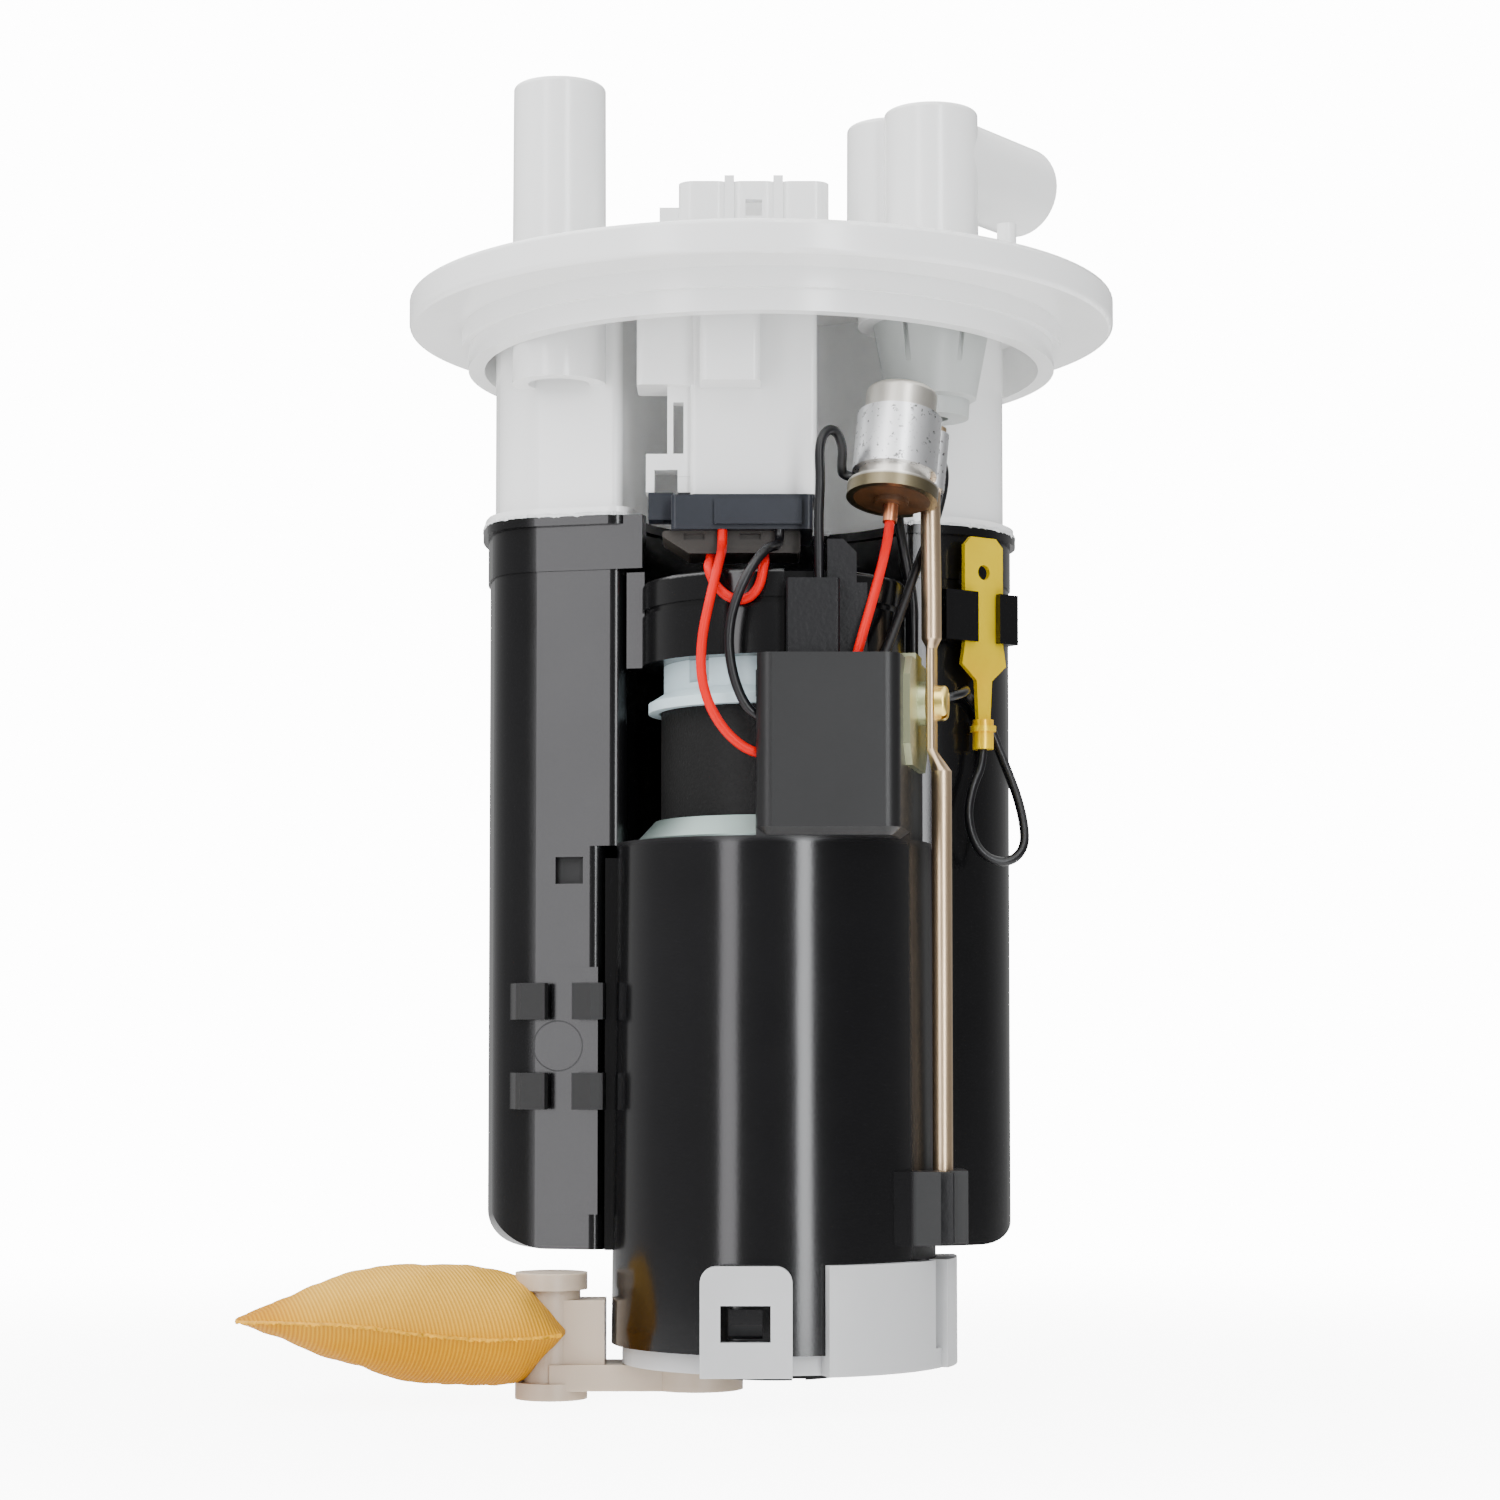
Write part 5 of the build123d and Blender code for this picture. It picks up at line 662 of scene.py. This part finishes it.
def rounded_block(bm, low, high, round_off):
    """A block between two corners, with rounded edges."""
    low, high = Vector(low), Vector(high)
    made = bmesh.ops.create_cube(bm, size=1)
    bmesh.ops.scale(bm, vec=(high - low) * MM, verts=made["verts"])
    bmesh.ops.translate(bm, vec=(low + high) / 2 * MM, verts=made["verts"])
    bmesh.ops.bevel(bm, geom=bm.edges[:], offset=round_off * MM, segments=3, affect="EDGES", profile=0.5)


COIL_STEPS = 28
COIL_SIDES = 8
# Share of a turn that lies flat at each end
FLAT_TURN = 0.7


def coil_spring(name, node, turns, wire):
    """A coiled wire in a spring's place; the spring part is hidden."""
    low, high = (Vector(corner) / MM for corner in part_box(node))
    centre = (low + high) / 2
    radius = (high.x - low.x) / 2 - wire
    bottom, top = low.z + wire, high.z - wire

    def build(bm):
        rings = []
        count = turns * COIL_STEPS
        for i in range(count + 1):
            share = i / count
            # The end turns lie nearly flat, as ground ends do
            eased = min(max((share * turns - FLAT_TURN) / (turns - 2 * FLAT_TURN), 0), 1)
            turn = 2 * pi * turns * share
            out = Vector((cos(turn), sin(turn), 0))
            spot = Vector((centre.x, centre.y, bottom + (top - bottom) * eased)) + out * radius
            ring = []
            for j in range(COIL_SIDES):
                angle = 2 * pi * j / COIL_SIDES
                point = spot + out * wire * cos(angle) + Vector((0, 0, wire * sin(angle)))
                ring.append(bm.verts.new(point * MM))
            rings.append(ring)
        skin(bm, rings)

    spring = mesh_object(name, build, "spring_steel")
    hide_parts(node)
    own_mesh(spring)


coil_spring("check_valve_coil", "check_valve_spring", 5, 0.22)
coil_spring("regulator_coil", "regulator_spring", 7, 0.45)

# Web that closes the mouth of the rod's clip
CLIP_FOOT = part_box("pump_holder")[0][2] / MM + 15.7
WEB_LOW = (26.5, -36.6, CLIP_FOOT + 0.1)
WEB_HIGH = (29.0, -33.0, CLIP_FOOT + 11.0)
WEB_ROUND = 0.25


def build_web(bm):
    """The web as one block with rounded edges."""
    rounded_block(bm, WEB_LOW, WEB_HIGH, WEB_ROUND)


mesh_object("rod_clip_web", build_web, "pebbled_plastic")


# Floor, sky and lights
FLOOR_HEIGHT = -171.0 * MM
FLOOR_RADIUS = 1.2
# The floor fades out between these distances from its middle, in metres
FADE_FROM = 0.06
FADE_TO = 0.36
floor_mesh = bpy.data.meshes.new("floor")
floor_bm = bmesh.new()
bmesh.ops.create_circle(floor_bm, cap_ends=True, segments=96, radius=FLOOR_RADIUS)
floor_bm.to_mesh(floor_mesh)
floor_bm.free()
floor = bpy.data.objects.new("floor", floor_mesh)
floor.location = (0, 0, FLOOR_HEIGHT)
scene.collection.objects.link(floor)

floor_material, floor_output, add, tree = new_tree("floor")
place = add("TexCoord").outputs["Object"]
distance = add("VectorMath", {0: place}, operation="LENGTH").outputs["Value"]
fade = add(
    "MapRange",
    {"Value": distance, "From Min": FADE_FROM, "From Max": FADE_TO, "To Min": 0.6, "To Max": 1.0},
    interpolation_type="SMOOTHSTEP",
)
matte = add("BsdfDiffuse", {"Color": (0.92, 0.92, 0.92, 1)})
clear = add("BsdfTransparent")
mixed = add("MixShader", {0: fade.outputs["Result"], 1: matte.outputs[0], 2: clear.outputs[0]})
tree.links.new(mixed.outputs[0], floor_output.inputs["Surface"])
floor_mesh.materials.append(floor_material)

world = bpy.data.worlds.new("sky")
scene.world = world
world.use_nodes = True
sky = world.node_tree
sky.nodes.clear()
sky_add = node_adder(sky)


def sky_sum(first, second, operation="ADD"):
    """Two strengths of the sky added or multiplied."""
    return sky_add("Math", {0: first, 1: second}, operation=operation).outputs["Value"]


direction = sky_add("SeparateXYZ", {"Vector": sky_add("TexCoord").outputs["Generated"]}).outputs
# Dim at eye level, so that black plastic stays black, and bright below and above; above, more from the left
below = ramp_up(sky_add, direction["Z"], -0.25, -0.7, 2.6)
above = ramp_up(sky_add, direction["Z"], 0.35, 0.75, 5.2)
from_left = sky_sum(above, ramp_up(sky_add, direction["X"], 0.5, -0.5, low=0.35), "MULTIPLY")
behind = ramp_up(sky_add, direction["Y"], 0.1, 0.9, 0.25)
leftward = ramp_up(sky_add, direction["X"], 0.4, -0.9, 0.4, low=0.2)
strength = sky_sum(sky_sum(below, from_left), sky_sum(behind, leftward))
soft = sky_add("Background", {"Color": (1, 1, 1, 1), "Strength": strength})
# The camera itself sees white, as in a cut-out photograph
white = sky_add("Background", {"Color": (1, 1, 1, 1), "Strength": 14})
seen = sky_add("LightPath").outputs["Is Camera Ray"]
sky_mix = sky_add("MixShader", {0: seen, 1: soft.outputs[0], 2: white.outputs[0]})
sky_add("OutputWorld", {"Surface": sky_mix.outputs[0]})

# The lights stand this far from the module's axis and this high, and aim at its middle, in metres
LIGHT_DISTANCE = 1.4
LIGHT_HEIGHT = 0.05
AIM_POINT = Vector((0, 0, -0.07))


def strip(name, azimuth, wide, tall, power, colour=(1, 1, 1), mirrored=True):
    """A soft box standing upright round the module; azimuth 0 is the camera's side and grows to the right.

    One that isn't mirrored lights the module but draws no highlight on it.
    """
    light = bpy.data.lights.new(name, "AREA")
    light.shape = "RECTANGLE"
    light.size = wide
    light.size_y = tall
    light.energy = power
    light.color = colour
    holder = bpy.data.objects.new(name, light)
    turn = radians(azimuth)
    holder.location = (LIGHT_DISTANCE * sin(turn), -LIGHT_DISTANCE * cos(turn), LIGHT_HEIGHT)
    aim = AIM_POINT - holder.location
    holder.rotation_euler = aim.to_track_quat("-Z", "Y").to_euler()
    holder.visible_glossy = mirrored
    scene.collection.objects.link(holder)


strip("strip_right", 21, 0.23, 1.7, 17, colour=(0.96, 0.98, 1))
strip("strip_left", -32, 0.30, 1.6, 8, colour=(0.98, 0.97, 1))
strip("side_right", 100, 0.5, 1.4, 3, mirrored=False)
strip("side_left", -75, 0.6, 1.4, 9, mirrored=False)
strip("back", 180, 0.8, 1.4, 8, mirrored=False)
